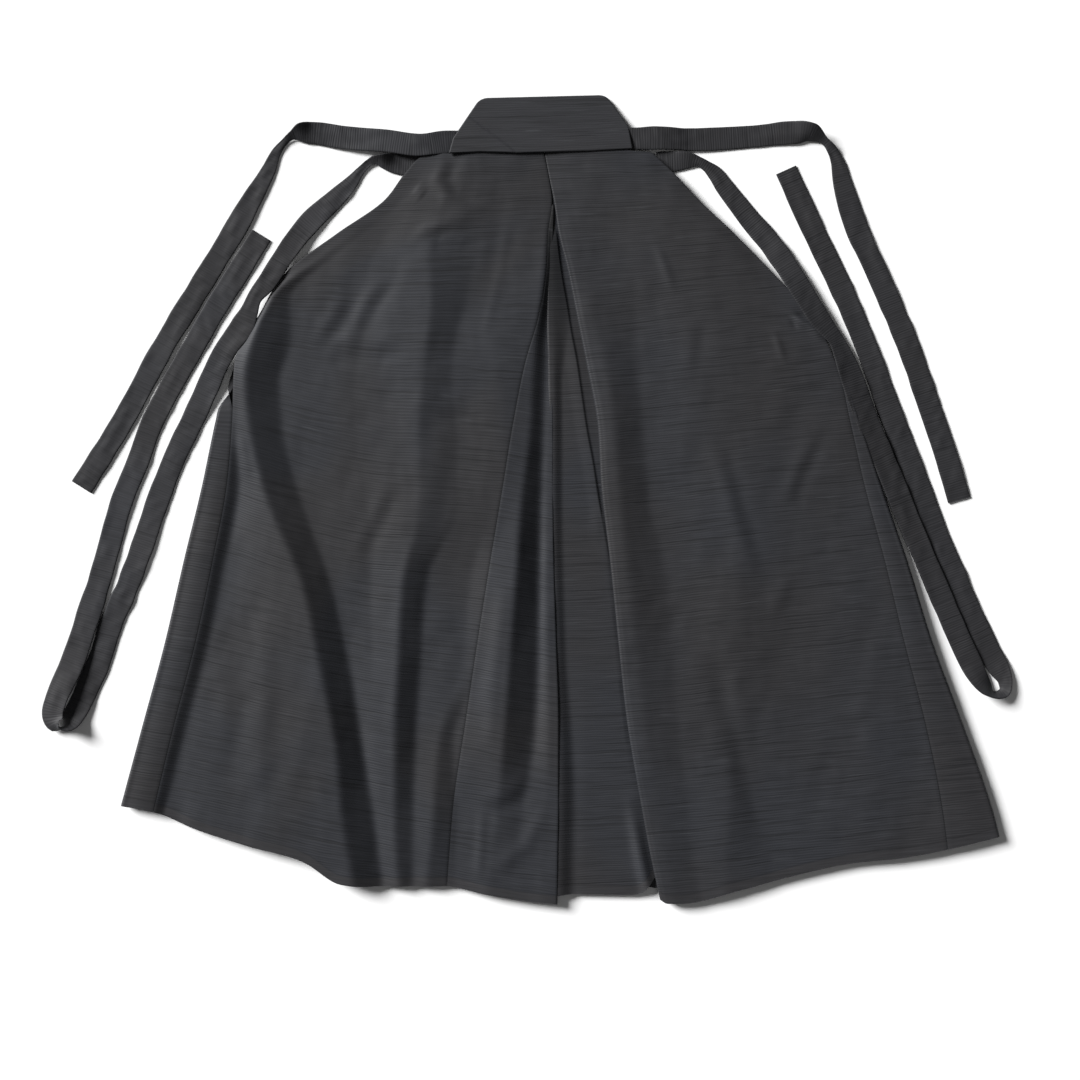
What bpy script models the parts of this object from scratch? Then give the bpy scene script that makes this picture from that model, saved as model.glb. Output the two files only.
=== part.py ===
"""Hakama trousers laid flat on their front, with the back side and its stiff waist board up.

Sizes are in millimetres and MM turns them into Blender's metres. X runs across the garment, and every
table gives "drop", the distance below the waist seam towards the hem. Z is height above the floor.
"""

import bpy
import bmesh
import numpy as np
from math import ceil, cos, exp, hypot, radians, sin

MM = 0.001

# Cloth and stacking
CLOTH = 1.3  # one layer of cloth
GAP = 0.3  # air between layers and along seams
SLOPE_GAP = 0.6  # from a seam to a panel that slopes away from it
LAYER = CLOTH + GAP
FLOOR_LAYER = CLOTH / 2  # middle of the layer that lies on the floor
PLEAT_TOP = FLOOR_LAYER + 2 * LAYER  # third layer of a front knife pleat
GORE_LEVEL = PLEAT_TOP + LAYER  # right inner gore, on the front's pleats
LEFT_LEVEL = GORE_LEVEL + LAYER  # left leg's back
RIGHT_LEVEL = LEFT_LEVEL + LAYER  # right leg's back, which laps over the left at the waist
FOLD_NOSE = 1.4  # how far a pressed fold's turn reaches beyond its straight layers
SIDE_TURN = 3.5  # how far a side's turn reaches beyond its straight layers

# Placing
WAIST_Y = 425.6  # the waist seam above the middle of the laid-out garment

# Waist board and bands
BOARD_THICK = 3.0
BOARD_LOW = 0.2  # under the board's far edge, which lies on the floor
BOARD_HIGH = 10.4  # under the board at the waist seam, on the panels
BOARD_CORNER = 10.0
TIE_THICK = 2.0
BAND_THICK = 2.8
BAND_TOP = 1.0
BAND_LOW = 30.0
BAND_LEFT = -112.0
BAND_RIGHT = 158.0

# Lines that run from waist to hem: drop, then where each line crosses it.
LINES = {
    "drop": (0, 30, 60, 100, 145, 200, 260, 330, 410, 500, 600, 700, 800, 860, 920),
    "side_left": (-128, -152, -175, -232, -292, -327, -364, -381, -398, -420, -443, -470, -497, -513, -529),
    "seam_left": (-128, -152, -175, -232, -292, -327, -357, -360, -367, -384, -405, -431, -455, -469, -483),
    "seam_inner": (21, 27, 31, 26, 24, 15, -2, -16, -29, -44, -60, -75, -90, -95, -99),
    "gore_fold": (34, 34, 34, 33, 31, 31, 32, 33, 33, 34, 37, 40, 40, 39, 38),
    "pleat_fold": (22, 28, 34, 40, 51, 62, 74, 87, 92, 102, 112, 123, 140, 151, 164),
    "seam_right": (152, 184, 212, 254, 298, 348, 379, 396, 414, 438, 462, 488, 508, 516, 523),
    "side_right": (152, 184, 212, 254, 298, 348, 386, 410, 436, 467, 498, 535, 570, 586, 603),
    "centre_front": (12, 12, 12, 12, 12, 11, 10, 10, 9, 8, 7, 6, 5, 4, 4),
}

# Edges that run across: x, then the drop of the waist edge or of the hem.
WAIST_EDGE = {
    "x": (-152, -128, -106, -96, -86, 118, 127, 152, 184),
    "drop": (28, 7, 4, 2, -4, -4, 0, 1, 26),
}
HEM_LEFT = {
    "x": (-500, -457, -406, -342, -269, -228, -190, -100, -55, -15, 38),
    "drop": (801, 809, 830, 850, 870, 892, 899, 900, 909, 916, 922),
}
HEM_GORE = {
    "x": (20, 60, 126, 140, 148, 154, 160, 200),
    "drop": (914, 910, 911, 909, 903, 895, 887, 878),
}
HEM_RIGHT = {
    "x": (160, 173, 190, 260, 340, 397, 462, 510, 580),
    "drop": (913, 921, 921, 905, 884, 872, 865, 856, 839),
}
HEM_FRONT = {
    "x": (*HEM_LEFT["x"][:-3], -55, -15, 20, 60, 132, 165, 200, *HEM_RIGHT["x"][3:]),
    "drop": (*HEM_LEFT["drop"][:-3], 907, 911, 908, 904, 904, 908, 915, *HEM_RIGHT["drop"][3:]),
}
FRONT_SHORT = 4.0  # the front's hem stops this much short of the back's
FRONT_INSET = 6.0  # and its edge at the side openings this much inside the back's
OPENING_HEM = 2.4  # width of the cloth turned in along that edge
LEFT_OPENING_END = 285.0  # drop at which the side seam begins, below the opening
RIGHT_OPENING_END = 240.0

# Relief of each leg's back. Lines run from waist to hem along its crests and troughs, in order across the
# leg: "x" is where a line crosses each drop, or the name of one of LINES, and "rise" is how high the
# cloth stands there above its level. Between two lines it slopes evenly.
LEFT_RELIEF = {
    "drop": (0, 80, 130, 180, 230, 280, 330, 430, 525, 625, 720, 820, 920),
    "side_seam": {
        "x": "seam_left",
        "rise": (0, 0, 0, 0.5, 3, 6, 6.5, 6, 5.5, 5.5, 5.5, 5.5, 5),
    },
    "side_valley": {
        "x": (-126, -202, -273, -313, -342, -357, -358, -360, -378, -400, -425, -449, -472),
        "rise": (0, 0, 0, 0.5, 3, 6, 5, 1, 0.2, 0, 0, 0, 0),
    },
    "side_crest": {
        "x": (-119, -188, -252, -307, -333, -344, -339, -315, -275, -253, -234, -224, -207),
        "rise": (0, 0.3, 1, 3.5, 7, 9.5, 10.5, 12, 13.5, 14.5, 15, 14, 12),
    },
    "long_trough": {
        "x": (-109, -175, -237, -284, -297, -309, -302, -275, -241, -218, -203, -187, -174),
        "rise": (0.3, 0.5, 0.5, 0.3, 0, 0, 0, 0, 0, 0, 0, 0, 0),
    },
    "trough_bank": {
        "x": (-100, -158, -188, -197, -202, -210, -210, -195, -190, -190, -186, -175, -165),
        "rise": (0.5, 1.5, 2, 2.5, 3, 3, 3, 3.5, 3, 4, 5, 3, 2.5),
    },
    "middle_crest": {
        "x": (-92, -106, -119, -116, -120, -126, -130, -130, -150, -157, -161, -161, -155),
        "rise": (0.6, 5, 8, 10, 10.5, 10.5, 10.5, 11, 11, 11, 10, 6.5, 5),
    },
    "second_trough": {
        "x": (-57, -57, -65, -74, -87, -92, -87, -84, -122, -130, -136, -139, -140),
        "rise": (1.2, 4, 5, 5.8, 6.6, 7.4, 7.6, 9, 2, 0.5, 0, 0.5, 1),
    },
    "second_bank": {
        "x": (-33, -33, -35, -45, -57, -57, -47, -42, -69, -77, -106, -114, -124),
        "rise": (1.2, 4, 5, 6.5, 8, 8.5, 9, 9.5, 4.5, 3.5, 3.5, 5, 4),
    },
    "third_trough": {
        "x": (-18, -18, -18, -26, -39, -33, -26, -26, -47, -55, -90, -87, -94),
        "rise": (1.2, 3.5, 4.5, 6, 8.5, 9, 9.5, 10, 8, 7, 0.8, 0, 0),
    },
    "inner_crest": {
        "x": (14, 24, 21, 18, 11, 7, 5.5, -6, -13, -21, -28, -36, -50),
        "rise": (1, 5, 7.5, 9, 10, 10.5, 11, 12, 13.5, 13, 10.5, 7, 4),
    },
    "fold_trough": {
        "x": (26, 30, 30, 28, 23, 21.5, 20, 17, 15, 14, 9, -7, -20),
        "rise": (0.4, 0.5, 0.2, 0, 0, 0, 0, 0, 0, 0, 0.5, 2, 2.5),
    },
    "fold_bank": {
        "x": (29, 32, 32.5, 31, 28, 27, 26, 24, 24, 25, 26, 22, 15),
        "rise": (0.4, 0.4, 0.2, 0.2, 0.4, 0.6, 0.8, 1.8, 3.2, 4.4, 5.2, 5.6, 5.6),
    },
    "fold_edge": {
        "x": "gore_fold",
        "rise": (0.4, 0.4, 0.4, 0.5, 0.8, 0.8, 0.8, 1.2, 2.0, 3.4, 5.0, 6.0, 6.0),
    },
}
RIGHT_RELIEF = {
    "drop": (0, 60, 130, 205, 280, 353, 427, 501, 574, 648, 722, 796, 857, 920),
    "pleat_edge": {
        "x": "pleat_fold",
        "rise": (0, 0.8, 1.6, 2.8, 3.6, 4.2, 4.5, 4.6, 4.4, 4.0, 3.6, 3.2, 3.0, 3.0),
    },
    "pleat_strip": {
        "x": (30, 42, 55, 71, 86, 97, 102, 110, 117, 125, 135, 147, 158, 172),
        "rise": (0, 1.1, 2.5, 4.3, 5.2, 6.0, 6.3, 6.5, 6.1, 5.5, 5.1, 4.7, 4.4, 4.2),
    },
    "pleat_crest": {
        "x": (36, 46, 60, 82, 100, 108, 114, 122, 130, 137, 147, 158, 168, 180),
        "rise": (0, 1.2, 3.0, 5.1, 6.5, 7.3, 7.7, 7.9, 7.3, 6.5, 5.9, 5.5, 5.1, 4.5),
    },
    "inner_trough": {
        "x": (60, 90, 121, 133, 137, 143, 151, 166, 178, 181, 187, 198, 202, 214),
        "rise": (0, 1.5, 2.3, 2.1, 1.7, 1.4, 1.3, 1.3, 1.7, 2.1, 2.3, 2.3, 2.1, 1.9),
    },
    "middle_crest": {
        "x": (90, 140, 201, 233, 238, 243, 250, 258, 263, 258, 248, 248, 245, 245),
        "rise": (0, 2.0, 3.7, 4.4, 4.9, 4.9, 4.9, 5.4, 4.9, 4.4, 4.4, 4.9, 4.9, 4.4),
    },
    "outer_trough": {
        "x": (140, 189, 263, 293, 306, 312, 317, 324, 324, 300, 282, 292, 297, 306),
        "rise": (0, 0, 2.4, 3.4, 3.4, 3.4, 3.1, 2.4, 1.9, 1.7, 1.4, 1.4, 1.4, 1.4),
    },
    "side_seam": {
        "x": "seam_right",
        "rise": (0, 0, 1.2, 2.9, 3.9, 4.9, 5.4, 5.4, 4.9, 4.4, 3.9, 3.4, 2.9, 2.9),
    },
}
GORE_BILLOW = 2.3  # rise of the right inner gore between the two folds beside it
GORE_POCKET = 5.0  # and the crest it has besides this near the hem, left of the right leg's fold

# Front knife pleats: how far in from the side towards the centre front each fold stands, and its depth.
LEFT_PLEATS = {"share": (0.30, 0.55, 0.80), "depth_waist": 28, "depth_hem": 62}
RIGHT_PLEATS = {"share": (0.42, 0.76), "depth_waist": 30, "depth_hem": 70}

# Drops at which every panel has a row of points, so that two panels match along their seam. Each panel
# also has a row on its waist edge, one on its hem and one half way from the last of these to the hem.
ROWS = (34, 64, 100, 145, 190, 240, 285, 320, 370, 430, 490, 550, 610, 670, 740)
LEFT_GORE_TOP = 90
RIGHT_GORE_TOP = 34

# Ties: each row is x, drop, lift of the lower edge above the floor, roll in degrees, 0 lying flat, and
# width, which is less where the tie is pinched at a turn.
BACK_TIE_LEFT = (
    (-98, -12, 8.8, 0, 29), (-132, -8, 8.8, 0, 29), (-170, -13, 9.6, 0, 29), (-198, -15.5, 4, -2, 29),
    (-223, -18, 0.2, -5, 29),
    (-264, -23, 0, -18, 29), (-284, -22, 0, -52, 27), (-296, -13, 0, -50, 13), (-309, 8, 0, -6, 12),
    (-319, 28, 0, 0, 16), (-331, 50, 0, 0, 22), (-353, 85, 0, 2, 29), (-388, 143, 0, -2, 29),
    (-445, 236, 0, 2, 29), (-500, 336, 0, -1, 29), (-547, 411, 0, 0, 29),
)
BACK_TIE_RIGHT = (
    (129.6, -16, 8.2, 0, 29), (160, -17, 6.5, 0, 29), (205, -16, 1.5, 0, 29), (277, -20, 0, 0, 29),
    (328, -24, 0, 14, 29), (350, -23, 0, 46, 27), (367, -13, 0, 46, 12), (376, -2, 0, 12, 14),
    (382, 10, 0, 0, 17), (388, 35, 0, 0, 25), (395, 60, 0, -2, 29), (406, 93, 0, 0, 29),
    (432, 150, 0, 2, 29), (473, 247, 0, -1, 29), (494, 308, 0, 0, 29), (517, 376, 0, 1, 29),
    (532, 427, 0, 0, 29),
)
FRONT_TIE_LEFT = (
    (-113, 15, 0, 0, 29), (-146, 14.5, 0, -4, 29), (-170, 15, 0, -8, 29), (-180, 15, 0, -30, 26),
    (-188, 14, 0, -50, 21), (-197, 15, 0, -40, 13), (-207, 23, 0, -4, 15), (-223, 40, 0, 0, 24),
    (-242, 62, 0, 0, 29),
    (-260, 83, 0, 2, 29), (-284, 112, 3, 0, 29), (-303, 137, 9, 0, 29), (-330, 174, 15, 0, 29),
    (-350, 207, 17, 0, 29), (-368, 238, 17, 0, 29), (-391, 287, 10, 2, 29), (-411, 330, 2, 0, 29),
    (-430, 369, 0, 0, 29), (-453, 427, 0, 0, 29), (-471, 480, 0, 2, 29), (-491, 534, 0, 0, 29),
    (-512, 582, 0, 0, 29), (-523, 618, 0, 0, 29), (-530, 636, 0, 0, 29), (-537.5, 652, 0, 0, 29),
    (-546, 672, 0, 2, 29), (-556, 688, 0, 8, 29), (-564, 699, 0, 36, 25), (-573, 703.5, 1, 80, 18),
    (-581, 701, 2.5, 124, 20), (-585, 690, 4, 160, 26), (-579, 672, 4.4, 170, 29),
    (-571, 652, 4.2, 173, 29), (-563, 634, 3.6, 175, 29), (-551, 600, 2.4, 178, 29),
    (-541, 568, 1, 180, 29), (-531, 540, 0, 180, 29), (-512, 480, 0, 180, 29), (-497, 427, 0, 178, 29),
    (-477, 378, 0, 180, 29), (-462, 336, 0, 182, 29), (-441, 294, 0, 180, 29), (-412, 243, 0, 180, 29),
    (-381, 189, 0, 179, 29), (-352, 143, 0, 180, 29), (-326, 101, 0, 180, 29),
)
FRONT_TIE_RIGHT = (
    (161, 14, 0, 0, 29), (180, 12, 0, 10, 29), (200, 12, 0, 34, 28), (215, 14, 0, 38, 23),
    (228, 22, 0, 8, 21), (242, 37, 0, 0, 23), (253, 50, 0, 0, 25), (264, 66, 0, 0, 29),
    (280, 89, 0, 0, 29), (306, 120, 5, 0, 29), (335, 168, 13, 2, 29), (369, 228, 14.5, 0, 29),
    (398, 275, 15, -2, 29), (417, 322, 15.5, 0, 29), (444, 391, 16, 0, 29), (467, 447, 13, 0, 29),
    (490, 501, 9, 0, 29), (512, 552, 6.5, 0, 29), (532, 598, 5, 0, 29), (545, 626, 4, -4, 29),
    (554.5, 645, 2.5, -24, 29), (563, 657, 1, -42, 27), (574, 666, 0, -62, 16), (587, 662, 0, -30, 15),
    (588, 650, 0, -16, 18), (581, 634, 0, -4, 26), (570.5, 616, 0, 0, 29), (560, 594, 0, 0, 29),
    (542, 556, 0, 0, 29), (524, 513, 0, 0, 29), (509, 476, 0, 0, 29), (493, 432, 0, 1, 29),
    (477, 388, 0, 0, 29), (449, 316, 2, 0, 29), (428, 261, 3, -1, 29), (406, 210, 0, 0, 29),
    (384, 160, 0, 0, 29), (353, 96, 0, 0, 29), (319, 21, 0, 0, 29),
)
TIE_STEP = 14.5  # longest stretch of a tie between two sections

COLOURS = {
    "back_cloth": (0.040, 0.043, 0.047, 1),
    "front_cloth": (0.036, 0.039, 0.043, 1),
    "board_cloth": (0.046, 0.049, 0.052, 1),
    "tie_cloth": (0.048, 0.049, 0.056, 1),
}


def clear_scene():
    for thing in list(bpy.data.objects):
        bpy.data.objects.remove(thing, do_unlink=True)


def curve_through(xs, ys, steady=True):
    """A smooth curve through table points, which runs on straight past either end.

    A steady curve never swings past its points between two of them.
    """
    xs = np.asarray(xs, float)
    ys = np.asarray(ys, float)
    slopes = np.gradient(ys, xs)
    if steady:
        legs = np.diff(ys) / np.diff(xs)
        least = np.minimum(abs(legs[:-1]), abs(legs[1:]))
        turns = legs[:-1] * legs[1:] <= 0
        slopes[1:-1] = np.where(turns, 0, np.clip(slopes[1:-1], -2 * least, 2 * least))

    def value(x):
        if x <= xs[0]:
            return ys[0] + (x - xs[0]) * slopes[0]
        if x >= xs[-1]:
            return ys[-1] + (x - xs[-1]) * slopes[-1]
        i = int(np.searchsorted(xs, x)) - 1
        step = xs[i + 1] - xs[i]
        t = (x - xs[i]) / step
        start = (1 + 2 * t) * (1 - t) ** 2 * ys[i] + t * (1 - t) ** 2 * step * slopes[i]
        end = t * t * (3 - 2 * t) * ys[i + 1] + t * t * (t - 1) * step * slopes[i + 1]
        return start + end

    return value


def line(name):
    return curve_through(LINES["drop"], LINES[name])


def edge(table):
    return curve_through(table["x"], table["drop"])


def ramp(value, start, end):
    """0 at start, 1 at end and an even slope between."""
    return min(1.0, max(0.0, (value - start) / (end - start)))


def relief_curves(relief):
    """Two curves of drop for each line of a relief: where it runs and how high it stands."""
    curves = {}
    for name, row in relief.items():
        if name != "drop":
            named = isinstance(row["x"], str)
            place = line(row["x"]) if named else curve_through(relief["drop"], row["x"])
            curves[name] = place, curve_through(relief["drop"], row["rise"])
    return curves


def surface(level, relief):
    """Height of a panel's middle at a point: its level with its relief, never below the level."""
    curves = relief_curves(relief).values()

    def height(x, drop):
        places = [place(drop) for place, _ in curves]
        for i in range(1, len(places)):
            places[i] = max(places[i], places[i - 1] + 1.5)
        rises = [max(0.0, rise(drop)) for _, rise in curves]
        return level + float(np.interp(x, places, rises))

    return height


def in_order(places, least):
    """Moves places apart where they come closer than least, without moving the two ends."""
    places = list(places)
    last = len(places) - 1
    for i in range(1, last):
        room = places[last] - least * (last - i)
        places[i] = min(max(places[i], places[i - 1] + least), room)
    return places


def meet(column, edge_line, start):
    """The drop at which a column meets an edge that runs across."""
    drop = start
    for _ in range(8):
        drop = edge_line(*column(drop))
    return drop


def grid_of(columns, waist, hem, above=0):
    """Points of a panel: each column is a function of drop, followed from the waist edge to the hem."""
    tops = [meet(column, waist, 20.0) for column in columns]
    hems = [meet(column, hem, 880.0) for column in columns]
    rows = [tops] + [[drop] * len(columns) for drop in ROWS if drop > above]
    rows += [[(ROWS[-1] + low) / 2 for low in hems], hems]
    grid = []
    for drops in rows:
        places = [column(drop) for column, drop in zip(columns, drops)]
        grid.append([(x, WAIST_Y - drop, z) for (x, z), drop in zip(places, drops)])
    return np.array(grid)


def section_normals(grid):
    """Unit directions square to each cross-section, in the XZ plane."""
    legs = np.diff(grid[:, :, [0, 2]], axis=1)
    legs /= np.linalg.norm(legs, axis=2, keepdims=True)
    sides = np.stack([-legs[:, :, 1], legs[:, :, 0]], axis=2)
    joined = np.concatenate([sides[:, :1], sides[:, 1:] + sides[:, :-1], sides[:, -1:]], axis=1)
    joined /= np.linalg.norm(joined, axis=2, keepdims=True)
    return np.stack([joined[:, :, 0], np.zeros(joined.shape[:2]), joined[:, :, 1]], axis=2)


def material(name):
    found = bpy.data.materials.get(name)
    if found:
        return found
    made = bpy.data.materials.new(name)
    made.use_nodes = True
    shader = made.node_tree.nodes["Principled BSDF"]
    shader.inputs["Base Color"].default_value = COLOURS[name]
    shader.inputs["Roughness"].default_value = 0.62
    shader.inputs["Metallic"].default_value = 0.0
    made.diffuse_color = COLOURS[name]
    return made


def add_object(name, points, faces, cloth):
    mesh = bpy.data.meshes.new(name)
    placed = [(x * MM, y * MM, z * MM) for x, y, z in points]
    mesh.from_pydata(placed, [], faces)
    work = bmesh.new()
    work.from_mesh(mesh)
    bmesh.ops.triangulate(work, faces=work.faces, quad_method="SHORT_EDGE")
    bmesh.ops.recalc_face_normals(work, faces=work.faces)
    work.to_mesh(mesh)
    work.free()
    mesh.shade_smooth()
    mesh.set_sharp_from_angle(angle=radians(40))
    mesh.materials.append(material(cloth))
    made = bpy.data.objects.new(name, mesh)
    bpy.context.scene.collection.objects.link(made)
    return made


def wall(name, over, under, cloth):
    """A closed wall between two grids of points of the same shape."""
    rows, columns = over.shape[:2]
    count = rows * columns
    points = [*over.reshape(-1, 3), *under.reshape(-1, 3)]
    faces = []
    for r in range(rows - 1):
        for c in range(columns - 1):
            a = r * columns + c
            quad = (a, a + 1, a + columns + 1, a + columns)
            faces.append(quad)
            faces.append(tuple(count + i for i in reversed(quad)))
    rim = [c for c in range(columns)]
    rim += [r * columns + columns - 1 for r in range(1, rows)]
    rim += [(rows - 1) * columns + c for c in range(columns - 2, -1, -1)]
    rim += [r * columns for r in range(rows - 2, 0, -1)]
    for a, b in zip(rim, rim[1:] + rim[:1]):
        faces.append((b, a, count + a, count + b))
    return add_object(name, points, faces, cloth)


def cloth_wall(name, grid, cloth):
    half = section_normals(grid) * CLOTH / 2
    return wall(name, grid + half, grid - half, cloth)


def on_surface(place, height):
    """A column that lies on a surface along a line."""

    def column(drop):
        x = place(drop)
        return x, height(x, drop)

    return column


def places_at(relief, drop):
    return {name: place(drop) for name, (place, _) in relief_curves(relief).items()}


def back_left_lines(drop):
    at = places_at(LEFT_RELIEF, drop)
    wanted = [
        at["side_seam"] + SLOPE_GAP, at["side_valley"], (at["side_valley"] + at["side_crest"]) / 2,
        at["side_crest"], at["long_trough"], at["trough_bank"], at["middle_crest"], at["second_trough"],
        at["second_bank"], at["third_trough"], at["inner_crest"], line("seam_inner")(drop) - GAP / 2,
    ]
    return in_order(wanted, 6.0)


def left_gore_lines(drop):
    at = places_at(LEFT_RELIEF, drop)
    start, end = line("seam_inner")(drop) + SLOPE_GAP, at["fold_edge"] - FOLD_NOSE
    wanted = [
        start, at["third_trough"], at["inner_crest"], (at["inner_crest"] + at["fold_trough"]) / 2,
        at["fold_trough"], at["fold_bank"], end,
    ]
    return in_order(wanted, min(3.0, (end - start) / 7))


def right_gore_lines(drop):
    left, right = line("gore_fold")(drop), line("pleat_fold")(drop)
    wanted = [
        left - 24, left + 1, left + 5, left + 0.4 * (right - left), right - 27, right - 13,
        right - 4.5, right - 0.5, right + 34,
    ]
    return in_order(wanted, 2.5)


def back_right_lines(drop):
    at = places_at(RIGHT_RELIEF, drop)
    end = at["side_seam"] - SLOPE_GAP
    wanted = [
        at["pleat_edge"] + FOLD_NOSE, at["pleat_strip"], at["pleat_crest"], at["inner_trough"],
        (at["inner_trough"] + at["middle_crest"]) / 2, at["middle_crest"],
        (at["middle_crest"] + at["outer_trough"]) / 2, at["outer_trough"],
        (2 * at["outer_trough"] + end) / 3, (at["outer_trough"] + 2 * end) / 3, end,
    ]
    return in_order(wanted, 2.5)


def pick(lines, index):
    return lambda drop: lines(drop)[index]


def columns_along(lines, height, first, last):
    return [on_surface(pick(lines, i), height) for i in range(first, last)]


def back_left_panel():
    height = surface(LEFT_LEVEL, LEFT_RELIEF)
    columns = columns_along(back_left_lines, height, 0, 12)
    waist, hem = edge(WAIST_EDGE), edge(HEM_LEFT)
    grid = grid_of(columns, lambda x, z: waist(x), lambda x, z: hem(x))
    cloth_wall("back_left_panel", grid, "back_cloth")


def level_left(x, drop):
    return LEFT_LEVEL


def billowed(x, drop):
    """Height of the right inner gore, which billows between the two folds beside it."""
    left, right = line("gore_fold")(drop), line("pleat_fold")(drop)
    shown = ramp(x, left + 1, left + 5) * ramp(right - x, 0.5, 4.5)
    below = ramp(drop, 560, 760) * ramp(left + 34 - x, 0, 26)
    pocket = GORE_POCKET * ramp(drop, 740, 850) * exp(-(((right - 27 - x) / 13) ** 2))
    return GORE_LEVEL + shown * (GORE_BILLOW * ramp(drop, 145, 220) * (1 - below) + pocket)


def turned_edge(fold, high, low, reach, inward):
    """Columns round a pressed fold: over its nose and back under for the distance reach(drop).

    high and low are the surfaces of the upper and lower layer, and inward is +1 where the cloth lies
    on the greater-x side of the fold.
    """

    def upper(drop):
        x = fold(drop) + inward * FOLD_NOSE
        return x, high(x, drop)

    def nose(drop):
        x = fold(drop) + inward * CLOTH / 2
        return x, (upper(drop)[1] + lower(drop)[1]) / 2

    def lower(drop):
        x = fold(drop) + inward * FOLD_NOSE
        return x, low(x, drop)

    def end(drop):
        x = fold(drop) + inward * reach(drop)
        return x, low(x, drop)

    return [upper, nose, lower, end]


def left_inner_gore():
    folded = surface(LEFT_LEVEL, LEFT_RELIEF)
    seam, fold = line("seam_inner"), line("gore_fold")

    def height(x, drop):
        return max(folded(x, drop), LEFT_LEVEL + LAYER * ramp(x, fold(drop) - 26, fold(drop) - 16))

    def turned_under(drop):
        return min(13.0, 0.6 * (fold(drop) - seam(drop)))

    columns = columns_along(left_gore_lines, height, 0, 6)
    columns += turned_edge(fold, height, level_left, turned_under, -1)
    hem = edge(HEM_LEFT)
    grid = grid_of(columns, lambda x, z: LEFT_GORE_TOP, lambda x, z: hem(x), LEFT_GORE_TOP)
    cloth_wall("left_inner_gore", grid, "back_cloth")


def right_inner_gore():
    columns = columns_along(right_gore_lines, billowed, 0, 9)
    hem = edge(HEM_GORE)
    grid = grid_of(columns, lambda x, z: RIGHT_GORE_TOP, lambda x, z: hem(x), RIGHT_GORE_TOP)
    cloth_wall("right_inner_gore", grid, "back_cloth")


def back_right_panel():
    height = surface(RIGHT_LEVEL, RIGHT_RELIEF)
    columns = turned_edge(line("pleat_fold"), height, level_left, lambda drop: 30.0, 1)[::-1]
    columns += columns_along(back_right_lines, height, 1, 11)
    waist, hem = edge(WAIST_EDGE), edge(HEM_RIGHT)
    grid = grid_of(columns, lambda x, z: waist(x), lambda x, z: hem(x))
    cloth_wall("back_right_panel", grid, "back_cloth")


def side_wrap(side, seam, height, opening_end, inward):
    """Columns of a front panel's side: from the seam on the back, round the side, to the floor layer.

    Above the end of the side opening there is only a narrow hem, which lies turned in on the floor layer.
    """
    turn = [radians(angle) for angle in (90, 55, 20, -20, -55, -90)]

    def wrapped(index, drop):
        out = side(drop)
        top = height(seam(drop), drop)
        if index == 0:
            return seam(drop) - inward * GAP / 2, top
        angle = turn[index - 1]
        middle = (top + FLOOR_LAYER) / 2
        reach = SIDE_TURN * (1 - cos(angle))
        return out + inward * (CLOTH / 2 + reach), middle + (top - FLOOR_LAYER) / 2 * sin(angle)

    def opened(index, drop):
        if index == 0:
            return side(drop) + inward * (FRONT_INSET + OPENING_HEM), FLOOR_LAYER + LAYER
        angle = turn[index - 1]
        x = side(drop) + inward * (FRONT_INSET + CLOTH / 2 + LAYER / 2 * (1 - cos(angle)))
        return x, FLOOR_LAYER + LAYER / 2 * (1 + sin(angle))

    def column(index):
        def at(drop):
            share = ramp(drop, opening_end, opening_end + 30)
            flat, turned = opened(index, drop), wrapped(index, max(drop, opening_end + 30))
            shift = side(drop) - side(max(drop, opening_end + 30))
            x = flat[0] + (turned[0] + shift - flat[0]) * share
            return x, flat[1] + (turned[1] - flat[1]) * share

        return at

    return [column(index) for index in range(len(turn) + 1)]


def knife_pleat(edge_of, depth_of, inward):
    """Columns through one knife pleat: a fold, its return on the second layer and its run on the third."""
    second = FLOOR_LAYER + LAYER
    steps = (
        (0, -FOLD_NOSE, FLOOR_LAYER), (0, -CLOTH / 2, FLOOR_LAYER + LAYER / 2), (0, -FOLD_NOSE, second),
        (1, FOLD_NOSE, second), (1, CLOTH / 2, second + LAYER / 2), (1, FOLD_NOSE, PLEAT_TOP),
        (0, 0.6, PLEAT_TOP), (0, 6.0, FLOOR_LAYER),
    )

    def column(at_back, shift, z):
        def at(drop):
            return edge_of(drop) + inward * (shift - at_back * depth_of(drop)), z
        return at

    return [column(*step) for step in steps]


def front_panel(name, side, seam, height, opening_end, pleats, inward):
    centre = line("centre_front")
    columns = side_wrap(side, seam, height, opening_end, inward)
    for share in pleats["share"]:
        def edge_of(drop, share=share):
            start = side(drop) + inward * FRONT_INSET
            return start + (centre(drop) - start) * share
        def depth_of(drop):
            return pleats["depth_waist"] + (pleats["depth_hem"] - pleats["depth_waist"]) * drop / 900
        columns += knife_pleat(edge_of, depth_of, inward)
    columns.append(lambda drop: (centre(drop) - inward * GAP / 2, FLOOR_LAYER))
    hem = edge(HEM_FRONT)

    def hem_at(x, z):
        return hem(x) - FRONT_SHORT * (z < GORE_LEVEL)

    grid = grid_of(columns, lambda x, z: BAND_LOW + GAP, hem_at)
    cloth_wall(name, grid, "front_cloth")


def front_waistband():
    xs = np.linspace(BAND_LEFT, BAND_RIGHT, 9)
    over = np.array([[(x, WAIST_Y - drop, BAND_THICK) for x in xs] for drop in (BAND_TOP, BAND_LOW)])
    under = over * (1, 1, 0)
    wall("front_waistband", over, under, "front_cloth")


def rounded(corner, before, after, radius):
    """Points of a round corner between two straight edges."""
    corner, before, after = (np.array(p, float) for p in (corner, before, after))
    start = corner + (before - corner) / np.linalg.norm(before - corner) * radius
    end = corner + (after - corner) / np.linalg.norm(after - corner) * radius
    return [(1 - t) ** 2 * start + 2 * t * (1 - t) * corner + t * t * end for t in np.linspace(0, 1, 5)]


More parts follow.
